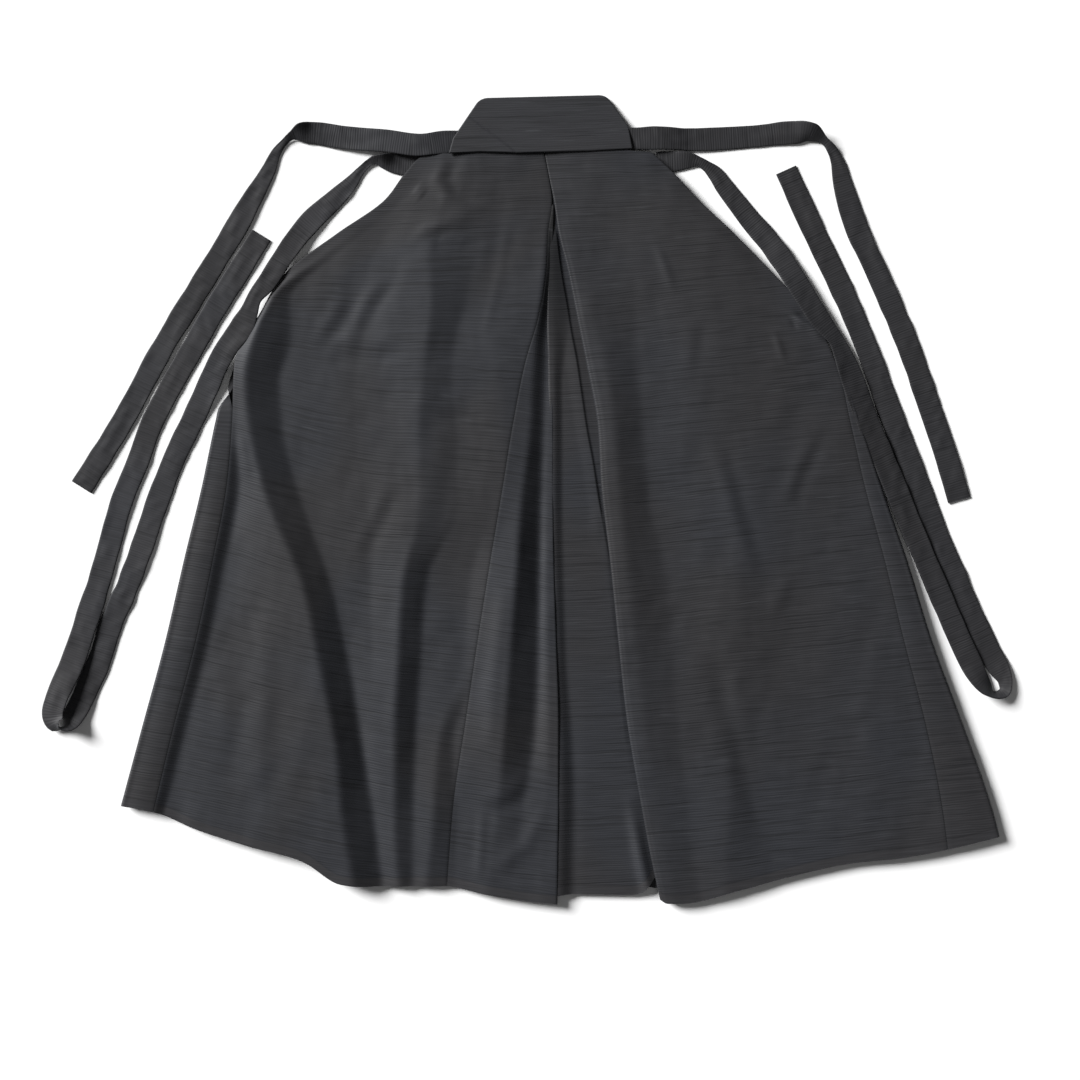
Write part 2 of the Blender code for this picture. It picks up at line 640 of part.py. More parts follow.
def koshi_ita():
    """The board: a rounded trapezoid that rises from the floor at its far edge to lie on the panels."""
    top_left, top_right = (-57, -67), (98, -71)
    right, low_right, low_left, left = (125, -31), (129.8, -3), (-95, 3), (-90, -16)
    outline = [
        *rounded(top_left, left, top_right, BOARD_CORNER),
        *rounded(top_right, top_left, right, BOARD_CORNER),
        right, low_right, (79, 0), (-13, 2.5), (-56, 1), low_left, left,
    ]
    far = min(drop for _, drop in outline)

    def under(drop):
        return BOARD_HIGH + (BOARD_HIGH - BOARD_LOW) * drop / -far

    low = [(x, WAIST_Y - drop, under(drop)) for x, drop in outline]
    high = [(x, y, z + BOARD_THICK) for x, y, z in low]
    count = len(outline)
    faces = [tuple(range(count)), tuple(range(2 * count - 1, count - 1, -1))]
    for i in range(count):
        j = (i + 1) % count
        faces.append((i, j, count + j, count + i))
    add_object("koshi_ita", low + high, faces, "board_cloth")


def tie(name, route):
    """A flat band along a route. Its lower edge keeps the route's lift while it rolls."""
    rows = np.array(route, float)
    spans = np.hypot(*np.diff(rows[:, :2], axis=0).T)
    along = np.concatenate([[0], np.cumsum(spans)])
    x_at, drop_at, lift_at, roll_at, wide_at = (
        curve_through(along, rows[:, i], i > 1) for i in range(5)
    )
    over, under = [], []
    for s in np.linspace(0, along[-1], ceil(along[-1] / TIE_STEP) + 1):
        ahead = np.array([x_at(s + 1) - x_at(s - 1), drop_at(s - 1) - drop_at(s + 1)])
        ahead /= hypot(*ahead)
        roll = radians(roll_at(s))
        across = np.array([-ahead[1] * cos(roll), ahead[0] * cos(roll), sin(roll)]) * wide_at(s) / 2
        face = np.array([ahead[1] * sin(roll), -ahead[0] * sin(roll), cos(roll)]) * TIE_THICK / 2
        z = max(0.0, lift_at(s)) + abs(across[2]) + abs(face[2])
        middle = np.array([x_at(s), WAIST_Y - drop_at(s), z])
        over.append([middle + across + face, middle - across + face])
        under.append([middle + across - face, middle - across - face])
    wall(name, np.array(over), np.array(under), "tie_cloth")


def build():
    clear_scene()
    back_left_panel()
    left_inner_gore()
    right_inner_gore()
    back_right_panel()
    left_height = surface(LEFT_LEVEL, LEFT_RELIEF)
    right_height = surface(RIGHT_LEVEL, RIGHT_RELIEF)
    front_panel(
        "front_left_panel", line("side_left"), line("seam_left"), left_height,
        LEFT_OPENING_END, LEFT_PLEATS, 1,
    )
    front_panel(
        "front_right_panel", line("side_right"), line("seam_right"), right_height,
        RIGHT_OPENING_END, RIGHT_PLEATS, -1,
    )
    front_waistband()
    koshi_ita()
    tie("back_tie_left", BACK_TIE_LEFT)
    tie("back_tie_right", BACK_TIE_RIGHT)
    tie("front_tie_left", FRONT_TIE_LEFT)
    tie("front_tie_right", FRONT_TIE_RIGHT)


build()
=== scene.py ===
from math import ceil, hypot, pi, radians

import bpy
import numpy as np
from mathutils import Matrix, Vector


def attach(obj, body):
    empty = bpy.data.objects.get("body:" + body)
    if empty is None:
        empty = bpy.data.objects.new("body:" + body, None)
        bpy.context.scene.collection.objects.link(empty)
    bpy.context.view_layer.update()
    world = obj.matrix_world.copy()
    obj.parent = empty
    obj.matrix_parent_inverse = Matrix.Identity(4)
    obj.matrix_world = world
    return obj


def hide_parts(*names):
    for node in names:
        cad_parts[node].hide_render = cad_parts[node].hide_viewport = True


# Looks of hakama trousers laid flat, back side up. Lengths are in millimetres: x runs across the garment
# and drop is the distance below the waist seam. Every piece is a thin shell on its solid's form.

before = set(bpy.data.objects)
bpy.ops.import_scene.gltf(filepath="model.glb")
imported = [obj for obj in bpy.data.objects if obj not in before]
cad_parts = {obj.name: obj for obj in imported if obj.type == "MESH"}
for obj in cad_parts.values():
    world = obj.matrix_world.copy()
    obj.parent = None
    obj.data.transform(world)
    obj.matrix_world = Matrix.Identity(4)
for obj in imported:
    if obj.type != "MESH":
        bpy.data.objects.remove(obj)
scene = bpy.context.scene
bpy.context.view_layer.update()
print("frame loaded")

mm = 0.001
waistY = 425.6  # where drop is 0
cloth = 1.0  # thickness
layer = 1.6  # from one layer of cloth to the next
floorLayer = 0.65  # middle of the lowest layer
pleatTop = floorLayer + 2 * layer
goreLevel = pleatTop + layer
leftLevel = goreLevel + layer
rightLevel = leftLevel + layer
foldNose = 1.4  # room for a folded edge's round nose
gap = 0.3  # between two pieces at a seam

# seams and folds that run down the garment, as x at each drop
lines = {
    "drop": (0, 30, 60, 100, 145, 200, 260, 330, 410, 500, 600, 700, 800, 860, 920),
    "sideLeft": (-128, -152, -175, -232, -292, -327, -364, -381, -398, -420, -443, -470, -497, -513, -529),
    "seamLeft": (-128, -152, -175, -232, -292, -327, -357, -360, -367, -384, -405, -431, -455, -469, -483),
    "seamInner": (21, 27, 31, 26, 24, 15, -2, -16, -29, -44, -60, -75, -90, -95, -99),
    "goreFold": (34, 34, 34, 33, 31, 31, 32, 33, 33, 34, 37, 40, 40, 39, 38),
    "pleatFold": (22, 28, 34, 40, 51, 62, 74, 87, 92, 102, 112, 123, 140, 151, 164),
    "seamRight": (152, 184, 212, 254, 298, 348, 379, 396, 414, 438, 462, 488, 508, 516, 523),
    "sideRight": (152, 184, 212, 254, 298, 348, 386, 410, 436, 467, 498, 535, 570, 586, 603),
    "centreFront": (12, 12, 12, 12, 12, 11, 10, 10, 9, 8, 7, 6, 5, 4, 4),
}
# edges that run across it, as x and drop
edges = {
    "waist": ((-152, -128, -106, -96, -86, 118, 127, 152, 184), (28, 6, 2, 2, -4, -4, -1, 1, 26)),
    "hemLeft": (
        (-500, -457, -406, -342, -269, -228, -190, -100, -55, -15, 38),
        (801, 809, 830, 850, 871, 896, 900, 900, 909, 916, 922),
    ),
    "hemGore": ((20, 60, 126, 140, 148, 154, 160, 200), (914, 910, 911, 909, 903, 895, 887, 878)),
    "hemRight": (
        (160, 173, 190, 260, 340, 397, 462, 510, 580),
        (913, 921, 921, 905, 884, 872, 865, 856, 839),
    ),
    "hemFront": (
        (-500, -457, -406, -342, -269, -228, -190, -100, -55, -15)
        + (20, 60, 132, 165, 200, 260, 340, 397, 462, 510, 580),
        (801, 809, 830, 850, 870, 892, 899, 900, 907, 911)
        + (908, 904, 904, 908, 915, 905, 884, 872, 865, 856, 839),
    ),
}


def curveThrough(xs, ys, steady=True):
    # a smooth curve through table points that runs on straight past either end;
    # a steady one never swings past its points
    steepest = 2  # times the flatter of the two legs that meet
    xs = np.asarray(xs, float)
    ys = np.asarray(ys, float)
    slopes = np.gradient(ys, xs)
    if steady:
        legs = np.diff(ys) / np.diff(xs)
        most = steepest * np.minimum(abs(legs[:-1]), abs(legs[1:]))
        turns = legs[:-1] * legs[1:] <= 0
        slopes[1:-1] = np.where(turns, 0, np.clip(slopes[1:-1], -most, most))

    def value(x):
        x = np.asarray(x, float)
        i = np.clip(np.searchsorted(xs, x) - 1, 0, len(xs) - 2)
        step = xs[i + 1] - xs[i]
        t = np.clip((x - xs[i]) / step, 0, 1)
        start = (1 + 2 * t) * (1 - t) ** 2 * ys[i] + t * (1 - t) ** 2 * step * slopes[i]
        end = t * t * (3 - 2 * t) * ys[i + 1] + t * t * (t - 1) * step * slopes[i + 1]
        past = np.minimum(x - xs[0], 0) * slopes[0] + np.maximum(x - xs[-1], 0) * slopes[-1]
        return start + end + past

    return value


lineAt = {name: curveThrough(lines["drop"], xs) for name, xs in lines.items() if name != "drop"}
edgeAt = {name: curveThrough(*table) for name, table in edges.items()}


def over(name):
    return lambda x, z: edgeAt[name](x)


def levelWith(drop):
    return lambda x, z: drop + 0 * x


def ramp(x, start, end):
    t = np.clip((np.asarray(x, float) - start) / (end - start), 0, 1)
    return t * t * (3 - 2 * t)


def softNoise(x, y, stepX, stepY, seed):
    # smooth values from -1 to 1 over a seeded lattice
    cells, startX, startY = 64, 31.7, 17.3
    lattice = np.random.default_rng(seed).uniform(-1, 1, (cells, cells))
    x = np.asarray(x, float) / stepX + startX
    y = np.asarray(y, float) / stepY + startY
    i, j = np.floor(x).astype(int), np.floor(y).astype(int)
    s, t = ramp(x - i, 0, 1), ramp(y - j, 0, 1)

    def row(b):
        return lattice[i % cells, b % cells] * (1 - s) + lattice[(i + 1) % cells, b % cells] * s

    return row(j) * (1 - t) + row(j + 1) * t


def reliefHeight(relief, x, drop):
    # height from lines of x and height, joined by plain slopes whose corners are rounded off
    leastStep = 1.5  # between two lines
    drops = relief["drop"]
    places, heights = [], []
    for line, rise in relief["lines"]:
        places.append(line(drop) if callable(line) else curveThrough(drops, line)(drop))
        heights.append(curveThrough(drops, rise)(drop))
    places = np.stack(np.broadcast_arrays(*places))
    heights = np.stack(np.broadcast_arrays(*heights))
    for k in range(1, len(places)):
        places[k] = np.maximum(places[k], places[k - 1] + leastStep)
    slopes = np.diff(heights, axis=0) / np.diff(places, axis=0)
    height = 0
    for shift, weight in zip(relief["taps"], relief["weights"]):
        near = x + shift
        k = np.sum(places[1:-1] <= near, axis=0)[None]
        base, start, slope = (np.take_along_axis(a, k, axis=0)[0] for a in (heights, places, slopes))
        last = np.take_along_axis(places, k + 1, axis=0)[0]
        height = height + weight * (base + slope * np.clip(near - start, 0, last - start))
    return height


def alongPoints(points, x, drop):
    # distance to a polyline, and how far along it the nearest point lies
    nearest = np.full(np.shape(x), np.inf)
    along = np.zeros(np.shape(x))
    start = 0
    for (ax, ay), (bx, by) in zip(points, points[1:]):
        span = hypot(bx - ax, by - ay)
        t = np.clip(((x - ax) * (bx - ax) + (drop - ay) * (by - ay)) / span**2, 0, 1)
        away = np.hypot(x - ax - t * (bx - ax), drop - ay - t * (by - ay))
        along = np.where(away < nearest, start + t * span, along)
        nearest = np.minimum(nearest, away)
        start += span
    return nearest, along, start


def creaseRise(crease, x, drop):
    # a soft ridge or trough along a polyline, that dies away at both ends
    width, height, *points = crease
    nearest, along, total = alongPoints(points, x, drop)
    taper = min(0.35 * total, 3 * width)
    ahead = -0.2 * taper  # a little of it is left at its very ends
    ends = ramp(along, ahead, taper) * ramp(total - along, ahead, taper)
    return height * ends * np.exp(-((nearest / width) ** 2) * 2.2)


# height of the softest wrinkles, their lengths across and down, and how they lean
wrinkles = (
    (0.70, 46, 120, 0, 0),
    (0.36, 21, 38, 0.3, -0.2),
    (0.09, 9, 15, -0.25, 0.3),
)
softFloor = 0.1  # rounds the relief off where it meets the level of its layer


def surface(level, relief, creases, seed):
    def height(x, drop):
        x, drop = np.broadcast_arrays(np.asarray(x, float), np.asarray(drop, float))
        rise = reliefHeight(relief, x, drop) if relief else 0 * x
        rise = rise + sum(creaseRise(crease, x, drop) for crease in creases)
        for order, (high, across, down, leanX, leanDrop) in enumerate(wrinkles):
            wave = softNoise(x + leanX * drop, drop + leanDrop * x, across, down, seed + order)
            rise = rise + high * wave
        return level + 0.5 * (rise + np.sqrt(rise * rise + softFloor))

    return height


def seamDip(away):
    deep, wide = 0.28, 1.3
    return deep * np.exp(-((away / wide) ** 2))


def spread(width, count):
    # shares across a panel, with a few close rows of points beside each edge
    close = np.array([0, 0.8, 1.6, 3.0]) / width
    middle = np.linspace(close[-1], 1 - close[-1], count)
    return np.concatenate([close[:-1], middle, (1 - close[:-1])[::-1]])


def meet(columns, edge, start):
    # the drop at which each column meets an edge that runs across
    drop = start
    for _ in range(12):  # settles well before this
        drop = edge(*columns(drop))
    return drop


def placed(x, drop, z):
    return np.dstack([x, waistY - drop, z])


def gridPoints(columns, top, hem, rows):
    # columns turns drops, rows by columns, into x and z; the rows run from the top edge to the hem
    nearTop, nearHem = 20.0, 880.0
    count = columns(np.zeros((1, 1)))[0].shape[1]
    tops = meet(columns, top, np.full((1, count), nearTop))
    hems = meet(columns, hem, np.full((1, count), nearHem))
    share = np.linspace(0, 1, rows)[:, None]
    drops = tops + (hems - tops) * share
    x, z = columns(drops)
    return placed(x, drops, z)


def gridNormals(grid):
    across = np.gradient(grid, axis=1)
    down = np.gradient(grid, axis=0)
    normals = np.cross(down, across)
    return normals / np.maximum(np.linalg.norm(normals, axis=2, keepdims=True), 1e-9)


def bakePlaces(rows, cols, corners, rimCount):
    # the upper and lower faces side by side, with the rim as a strip between them
    edge, start, end = 0.005, 0.496, 0.504
    r, q = np.divmod(np.arange(rows * cols), cols)
    place = np.stack([q / (cols - 1), 1 - r / (rows - 1)], axis=1)
    place = place * (0.5 - 3 * edge, 1 - 2 * edge) + edge
    places = np.concatenate([place, place + (0.5 + edge, 0)])[corners]
    turn = np.linspace(edge, 1 - edge, rimCount + 1)
    strip = np.stack([turn[:-1], turn[1:], turn[1:], turn[:-1]], axis=1).reshape(-1)
    places[-4 * rimCount :, 0] = np.tile([start, start, end, end], rimCount)
    places[-4 * rimCount :, 1] = strip
    return places


def shell(name, over, under, weave, edgeMap):
    # a closed shell between two grids of points, with cloth, edge and bake maps
    rows, cols = over.shape[:2]
    count = rows * cols
    index = np.arange(count).reshape(rows, cols)
    a, b, c, d = index[:-1, :-1], index[:-1, 1:], index[1:, 1:], index[1:, :-1]
    upper = np.dstack([a, d, c, b]).reshape(-1, 4)
    lower = np.dstack([a, b, c, d]).reshape(-1, 4) + count
    rim = np.concatenate([index[0, :-1], index[:-1, -1], index[-1, :0:-1], index[:0:-1, 0]])
    after = np.roll(rim, -1)
    sides = np.stack([rim, after, after + count, rim + count], axis=1)
    faces = np.concatenate([upper, lower, sides])
    points = np.concatenate([over.reshape(-1, 3), under.reshape(-1, 3)]) * mm
    mesh = bpy.data.meshes.new(name)
    mesh.from_pydata(points.tolist(), [], faces.tolist())
    corners = faces.reshape(-1)
    maps = {
        "cloth": np.tile(weave.reshape(-1, 2), (2, 1))[corners],
        "edges": np.tile(edgeMap.reshape(-1, 2), (2, 1))[corners],
        "OFBake": bakePlaces(rows, cols, corners, len(rim)),
    }
    for mapName, values in maps.items():
        layerMap = mesh.uv_layers.new(name=mapName)
        layerMap.data.foreach_set("uv", np.ascontiguousarray(values, np.float32).reshape(-1))
    mesh.uv_layers.active = mesh.uv_layers["cloth"]
    mesh.shade_smooth()
    mesh.set_sharp_from_angle(angle=radians(50))
    piece = bpy.data.objects.new(name, mesh)
    scene.collection.objects.link(piece)
    return piece


def arcLength(grid, axis):
    # how far each point lies from the first one along its row or column
    steps = np.linalg.norm(np.diff(grid, axis=axis), axis=2)
    start = np.zeros_like(np.take(steps, [0], axis))
    return np.concatenate([start, np.cumsum(steps, axis=axis)], axis=axis)


def clothSheet(name, grid, piece, origin):
    # a piece's weft says how many degrees it falls to the right: everywhere, and then what comes in
    # between two drops at shares across the cloth; origin is where its weave starts; along the column that
    # the piece gives for it a dark line of painted shade is drawn, and past that column the weave reads at
    # most the unshaded metres to the hem, which keeps the painted shade above the hem off that cloth
    half = gridNormals(grid) * cloth / 2
    across = arcLength(grid, 1)
    down = arcLength(grid, 0)
    share = across / across[:, -1:]
    drop = waistY - grid[:, :, 1]
    always, *parts = piece["weft"]
    slant = always + sum(np.interp(share, xs, ys) * ramp(drop, *reach) for xs, ys, reach in parts)
    fall = np.tan(np.radians(slant + 0 * share))
    steps = np.diff(across, axis=1) * (fall[:, 1:] + fall[:, :-1]) / 2
    fallen = np.concatenate([np.zeros((len(grid), 1)), np.cumsum(steps, axis=1)], axis=1)
    weave = np.dstack([across, drop - fallen]) * mm + origin
    toHem = down[-1:] - down
    toSide = np.minimum(across, across[:, -1:] - across)
    # a dark line of painted shade along the piece's given column, where a crease or fold edge would shade
    # the cloth
    if "paintedShadeColumn" in piece:
        seam = piece["paintedShadeColumn"]
        toSide = np.minimum(toSide, abs(across - across[:, seam : seam + 1]))
        toHem[:, seam:] = np.minimum(toHem[:, seam:], piece["unshaded"] / mm)
    return shell(name, grid + half, grid - half, weave, np.dstack([toHem, toSide]) * mm)


def foldedColumns(foldX, farX, high, low, inward, reach, count, bulge):
    # columns from the end of a turned edge, round its nose and over the top to the far seam;
    # bulge(drop) is how far the nose reaches beyond its straight layers
    underRows, noseRows = 8, 9
    nose = underRows + noseRows
    shares = np.concatenate([np.zeros(nose), np.linspace(0, 1, count + 1)[1:]])
    under = np.concatenate([np.linspace(1, 0, underRows + 1)[:-1], np.zeros(noseRows + count)])
    turns = (np.full(underRows, -90.0), np.linspace(-90, 90, noseRows), np.full(count, 90.0))
    angles = np.radians(np.concatenate(turns))
    flat = shares > 0

    def columns(drop):
        drop = np.broadcast_to(drop, (drop.shape[0], nose + count))
        fold, far = foldX(drop), farX(drop)
        inner = fold + inward * foldNose
        far = far - inward * gap / 2
        room = reach(drop) - foldNose
        x = inner + inward * room * under - inward * bulge(drop) * np.cos(angles) * (~flat)
        x = np.where(flat, inner + (far - inner) * shares, x)
        base = high(inner, drop)
        turned = (base + low) / 2 + (base - low) / 2 * np.sin(angles)
        z = np.where(flat, high(x, drop) - seamDip(abs(far - x)), turned)
        return x, z

    return columns


# A leg's relief is a row of lines that run down it, each with its x and its height at every drop; the
# taps and weights round it off. A crease has a width, a height and the points that it runs through.
leftLeg = {
    "taps": (-5, -2.5, 0, 2.5, 5),
    "weights": (0.10, 0.23, 0.34, 0.23, 0.10),
    "drop": (0, 80, 130, 180, 230, 280, 330, 430, 525, 625, 720, 820, 920),
    "lines": (
        (lineAt["seamLeft"], (0, 0, 0, 0.8, 3.4, 7.6, 8, 6.5, 5.5, 5.5, 5.5, 5.5, 5)),
        (lambda drop: lineAt["seamLeft"](drop) + 15 * ramp(drop, 300, 430),
         (0, 0, 0, 0.8, 4, 8, 7, 1.5, 0.2, 0, 0, 0, 0)),
        ((-119, -188, -252, -315, -334, -343, -339, -315, -275, -253, -234, -224, -207),
         (0, 0.3, 1.2, 5.6, 11, 11.6, 11, 12, 13.5, 14.5, 15, 14, 12)),
        ((-109, -175, -239, -290, -289, -303, -301, -275, -241, -218, -203, -187, -174),
         (0.5, 0.5, 0.5, 0, 0, 0, 0, 0, 0, 0, 0, 0, 0)),
        ((-100, -158, -188, -197, -202, -210, -210, -195, -190, -190, -186, -175, -165),
         (1, 1.5, 2, 2.5, 3, 3, 3, 3.5, 3, 4, 5, 3, 2.5)),
        ((-92, -106, -119, -116, -120, -126, -130, -130, -150, -157, -161, -161, -155),
         (1, 5, 8, 10, 10.5, 10.5, 10.5, 11, 11, 11, 10, 6.5, 5)),
        ((-57, -57, -65, -74, -87, -92, -87, -84, -122, -130, -136, -139, -140),
         (2, 3.2, 3.8, 4.6, 6, 7.4, 7.6, 9, 2, 0.5, 0, 0.5, 1)),
        ((-33, -33, -35, -45, -57, -57, -47, -42, -69, -77, -106, -114, -124),
         (2, 2.4, 2.8, 4.4, 7, 8.5, 9, 9.5, 4.5, 3.5, 3.5, 5, 4)),
        ((-18, -18, -18, -26, -39, -33, -26, -26, -47, -55, -90, -87, -94),
         (1.8, 2.3, 3.2, 5, 8, 9, 9.5, 10, 8, 7, 0.8, 0, 0)),
        ((14, 26, 24, 19, 12, 7.5, 5.5, -6, -13, -21, -28, -36, -50),
         (0.8, 1.6, 4.6, 7, 7.6, 7.8, 8.4, 11, 13.5, 13, 11, 4.8, 3.6)),
        ((26, 30.5, 31, 28.5, 23, 21.5, 20, 17, 15, 14, 9, -7, -20),
         (0.5, 0.8, 0.2, 0.4, 1.4, 1.8, 1.6, 0.6, 0, 0, 0.3, 3.2, 3.4)),
        ((29, 32.3, 32.6, 31, 28, 27, 26, 24, 24, 25, 26, 22, 15),
         (0.5, 0.7, 1.2, 1.6, 2, 2.2, 2.4, 2.8, 3.4, 4.2, 4.8, 5, 5)),
        (lineAt["goreFold"], (0.4, 1.2, 2.2, 2.8, 3, 3, 3, 3.2, 3.4, 3.8, 4.6, 5, 5)),
    ),
    "creases": (
        (11, 1, (-98, 4), (-110, 34), (-97, 58), (-74, 72), (-48, 74)),
        (11, -1, (-84, 6), (-95, 34), (-84, 52), (-64, 60), (-42, 60)),
        (11, 1, (-64, 84), (-94, 86), (-122, 94), (-142, 112)),
        (10, -1.1, (-52, 96), (-92, 98), (-112, 104), (-106, 114), (-80, 118), (-50, 112)),
        (15, 1.1, (-252, 236), (-218, 228), (-182, 234), (-150, 224)),
        (14, -1, (-246, 260), (-214, 252), (-180, 256), (-148, 246)), (10, 1, (-137, 44), (-126, 56)),
        (14, 0.9, (-218, 170), (-240, 205), (-262, 236)),
        (13, -0.7, (-206, 176), (-227, 212), (-250, 246)),
        (13, 0.8, (-170, 150), (-196, 182), (-214, 226), (-222, 262)),
        (12, -0.7, (-158, 156), (-184, 190), (-201, 232)),
        (16, 0.9, (-165, 400), (-190, 450), (-215, 501)),
        (15, -0.8, (-150, 404), (-176, 456), (-203, 510)), (16, 0.7, (-140, 300), (-110, 312), (-76, 306)),
        (16, -0.6, (-138, 318), (-108, 330), (-70, 324)), (14, 0.7, (-60, 286), (-96, 268), (-128, 270)),
        (10, 1, (-351, 344), (-339, 401)), (20, 0.9, (-320, 560), (-318, 680), (-330, 800)),
        (24, -0.9, (-350, 600), (-352, 720), (-372, 810)), (12, 0.7, (-22, 84), (-34, 150), (-52, 230)),
    ),
    "waistRise": (1.3, (4, 42), (-100, -70)),  # height, drops where it ends and x where it starts
    "weft": (
        -1.5,
        ((0, 1), (1.5, 1.5), (60, 200)),
        ((0, 0.15, 0.35, 0.5, 0.65, 1), (17, 17, 14.5, 10.5, 4, 3.5), (110, 400)),
        ((0, 0.25, 0.4, 0.5, 0.7, 1), (-7, -3.5, 0, 0, 6, 5), (520, 720)),
    ),
    "rows": 210,
    "columns": 150,
}
leftHeight = surface(leftLevel, leftLeg, leftLeg["creases"], 3)


def leftLegCloth():
    shares = spread(330, leftLeg["columns"])[None, :]
    rise, ending, starting = leftLeg["waistRise"]

    def columns(drop):
        start, end = lineAt["seamLeft"](drop) + gap / 2, lineAt["seamInner"](drop) - gap / 2
        x = start + (end - start) * shares
        waist = rise * (1 - ramp(drop, *ending)) * ramp(x, *starting)
        return x, leftHeight(x, drop) + waist - seamDip(np.minimum(x - start, end - x))

    grid = gridPoints(columns, over("waist"), over("hemLeft"), leftLeg["rows"])
    return clothSheet("left_leg_cloth", grid, leftLeg, (0.0, 0.0))


leftGore = {
    "creases": (
        (15, -1.5, (-48, 808), (-18, 800), (10, 782)), (14, 0.8, (-54, 792), (-22, 782), (4, 766)),
        (10, 1, (-54, 800), (-56, 850), (-60, 896)), (14, 1.4, (-40, 880), (0, 850), (24, 800)),
        (16, 1.2, (-25, 520), (-40, 640), (-46, 740)),
    ),
    "foldRise": (1.2, 20, 10),  # least height at the fold, and where its slope starts and how far it runs
    "top": (63.0, 1.2, 9.0),  # drop of its point, and how steeply and how far the top falls away
    "turnedUnder": (13.0, 0.6),  # how far at most, and as a share of the width
    "nose": 0.9,
    "weft": (9.5, ((0, 1), (0, -4), (700, 900))),
    "rows": 190,
    "columns": 56,
}
goreHeight = surface(leftLevel, leftLeg, leftGore["creases"], 3)


def leftGoreCloth():
    fold, seam = lineAt["goreFold"], lineAt["seamInner"]

    def high(x, drop):
        rise, wide, run = leftGore["foldRise"]
        least = leftLevel + rise * np.clip((x - fold(drop) + wide) / run, 0, 1)
        return np.maximum(goreHeight(x, drop), least)

    def reach(drop):
        most, share = leftGore["turnedUnder"]
        return np.minimum(most, share * (fold(drop) - seam(drop)))

    def top(x, z):
        point, steep, far = leftGore["top"]
        return point + steep * np.clip(fold(point) - x, 0, far)

    def bulge(drop):
        return leftGore["nose"]

    columns = foldedColumns(fold, seam, high, leftLevel, -1, reach, leftGore["columns"], bulge)
    grid = gridPoints(columns, top, over("hemLeft"), leftGore["rows"])
    return clothSheet("left_gore_cloth", grid[:, ::-1], leftGore, (0.21, 1.37))


rightGore = {
    "creases": (
        (14, 2, (22, 650), (26, 760), (30, 906)), (9, -0.8, (40, 300), (44, 600), (42, 900)),
        (20, 1, (84, 400), (98, 640), (104, 780)),
    ),
    "under": (24, 34),  # how far it runs on under the left and the right leg
    # the crease beside the right leg's fold, as drop and x
    "crease": (
        (30, 60, 100, 146, 189, 222, 251, 294, 344, 384, 414, 445, 475, 508, 600, 700, 800, 920),
        (29, 32, 36, 41.7, 49.3, 54.7, 60.3, 66.8, 74.3, 81.8, 86.2, 91.6, 97.2, 104, 119, 132, 149, 174),
    ),
    "strip": (2.6, 4, 0.45),  # least and plain width from crease to fold, and share of the height
    "fall": 2.2,  # width of the step down at the crease
    "shown": (-9, -4),  # where it comes out from under the left leg
    "most": (0.4, 2.4),  # height where it is hidden, and what is added where it is seen
    "billow": (1.0, (90, 190), (560, 760), (8, 34)),  # least height and where it holds
    "ridge": (0.9, (-16, 0), (130, 240), (440, 520)),  # height beside the crease and where it holds
    "bank": (3.0, 2.6, 12, 14, 9),  # height, added at the hem, width, added at the top and hem
    "bankReach": ((75, 120), (180, 290), (620, 790)),
    "pocket": (12, 7, 4.4, (775, 870)),  # from the fold to its crest, half width, height and start
    "weft": (-2.5,),
    # along this column a dark line of painted shade marks the crease; past it the painted shade above the
    # hem stays off the strip
    "paintedShadeColumn": 41,
    "unshaded": 0.6,
    "top": 34.0,
    "rows": 190,
    "columns": (36, 22),
}
middleHeight = surface(goreLevel, None, rightGore["creases"], 7)


def rightGoreCloth():
    # one run of columns reaches the crease and another goes on from it
    first, second = (spread(60, count) for count in rightGore["columns"])
    leftShares = np.concatenate([first, np.ones(len(second) - 1)])[None, :]
    rightShares = np.concatenate([np.zeros(len(first) - 1), second])[None, :]
    creaseAt = curveThrough(*rightGore["crease"])
    underLeft, underRight = rightGore["under"]

    def shownHeight(past, before, beyond):
        # 0 where it is hidden and 1 where it is seen, with a step down past the crease
        least, plain, rise = rightGore["strip"]
        strip = before + beyond
        share = np.clip(before / np.maximum(strip, least), 0, 1)
        step = np.where(strip > plain, 1 - ramp(beyond, 0, rightGore["fall"]), 1)
        seen = np.clip(rise * share + (1 - rise) * step, 0, 1) * (before > 0)
        return ramp(past, *rightGore["shown"]) * seen

    def bankHeight(past, drop):
        rise, hemRise, wide, topWide, hemWide = rightGore["bank"]
        starting, narrowing, ending = rightGore["bankReach"]
        nearHem = ramp(drop, *ending)
        wide = wide + topWide * (1 - ramp(drop, *narrowing)) + hemWide * nearHem
        return (1 - ramp(past, 0, wide)) * (rise * ramp(drop, *starting) + hemRise * nearHem)

    def columns(drop):
        left, fold, crease = lineAt["goreFold"](drop), lineAt["pleatFold"](drop), creaseAt(drop)
        start, end = left - underLeft, fold + underRight
        x = start + (crease - start) * leftShares + (end - crease) * rightShares
        past = x - left
        shown = shownHeight(past, fold - x, x - crease)
        hidden, seen = rightGore["most"]
        z = np.minimum(middleHeight(x, drop), goreLevel + hidden + seen * shown)
        rise, starting, ending, beside = rightGore["billow"]
        lower = 1 - ramp(drop, *ending) * (1 - ramp(past, *beside))
        z = np.maximum(z, goreLevel + rise * shown * ramp(drop, *starting) * lower)
        rise, beside, starting, ending = rightGore["ridge"]
        ridge = rise * ramp(x - crease, *beside) * ramp(drop, *starting)
        ridge = ridge * (1 - ramp(drop, *ending))
        away, across, rise, starting = rightGore["pocket"]
        pocket = rise * np.exp(-(((x - fold + away) / across) ** 2)) * ramp(drop, *starting)
        return x, z + (ridge + bankHeight(past, drop) + pocket) * shown

    grid = gridPoints(columns, levelWith(rightGore["top"]), over("hemGore"), rightGore["rows"])
    return clothSheet("right_gore_cloth", grid, rightGore, (1.3, 0.61))


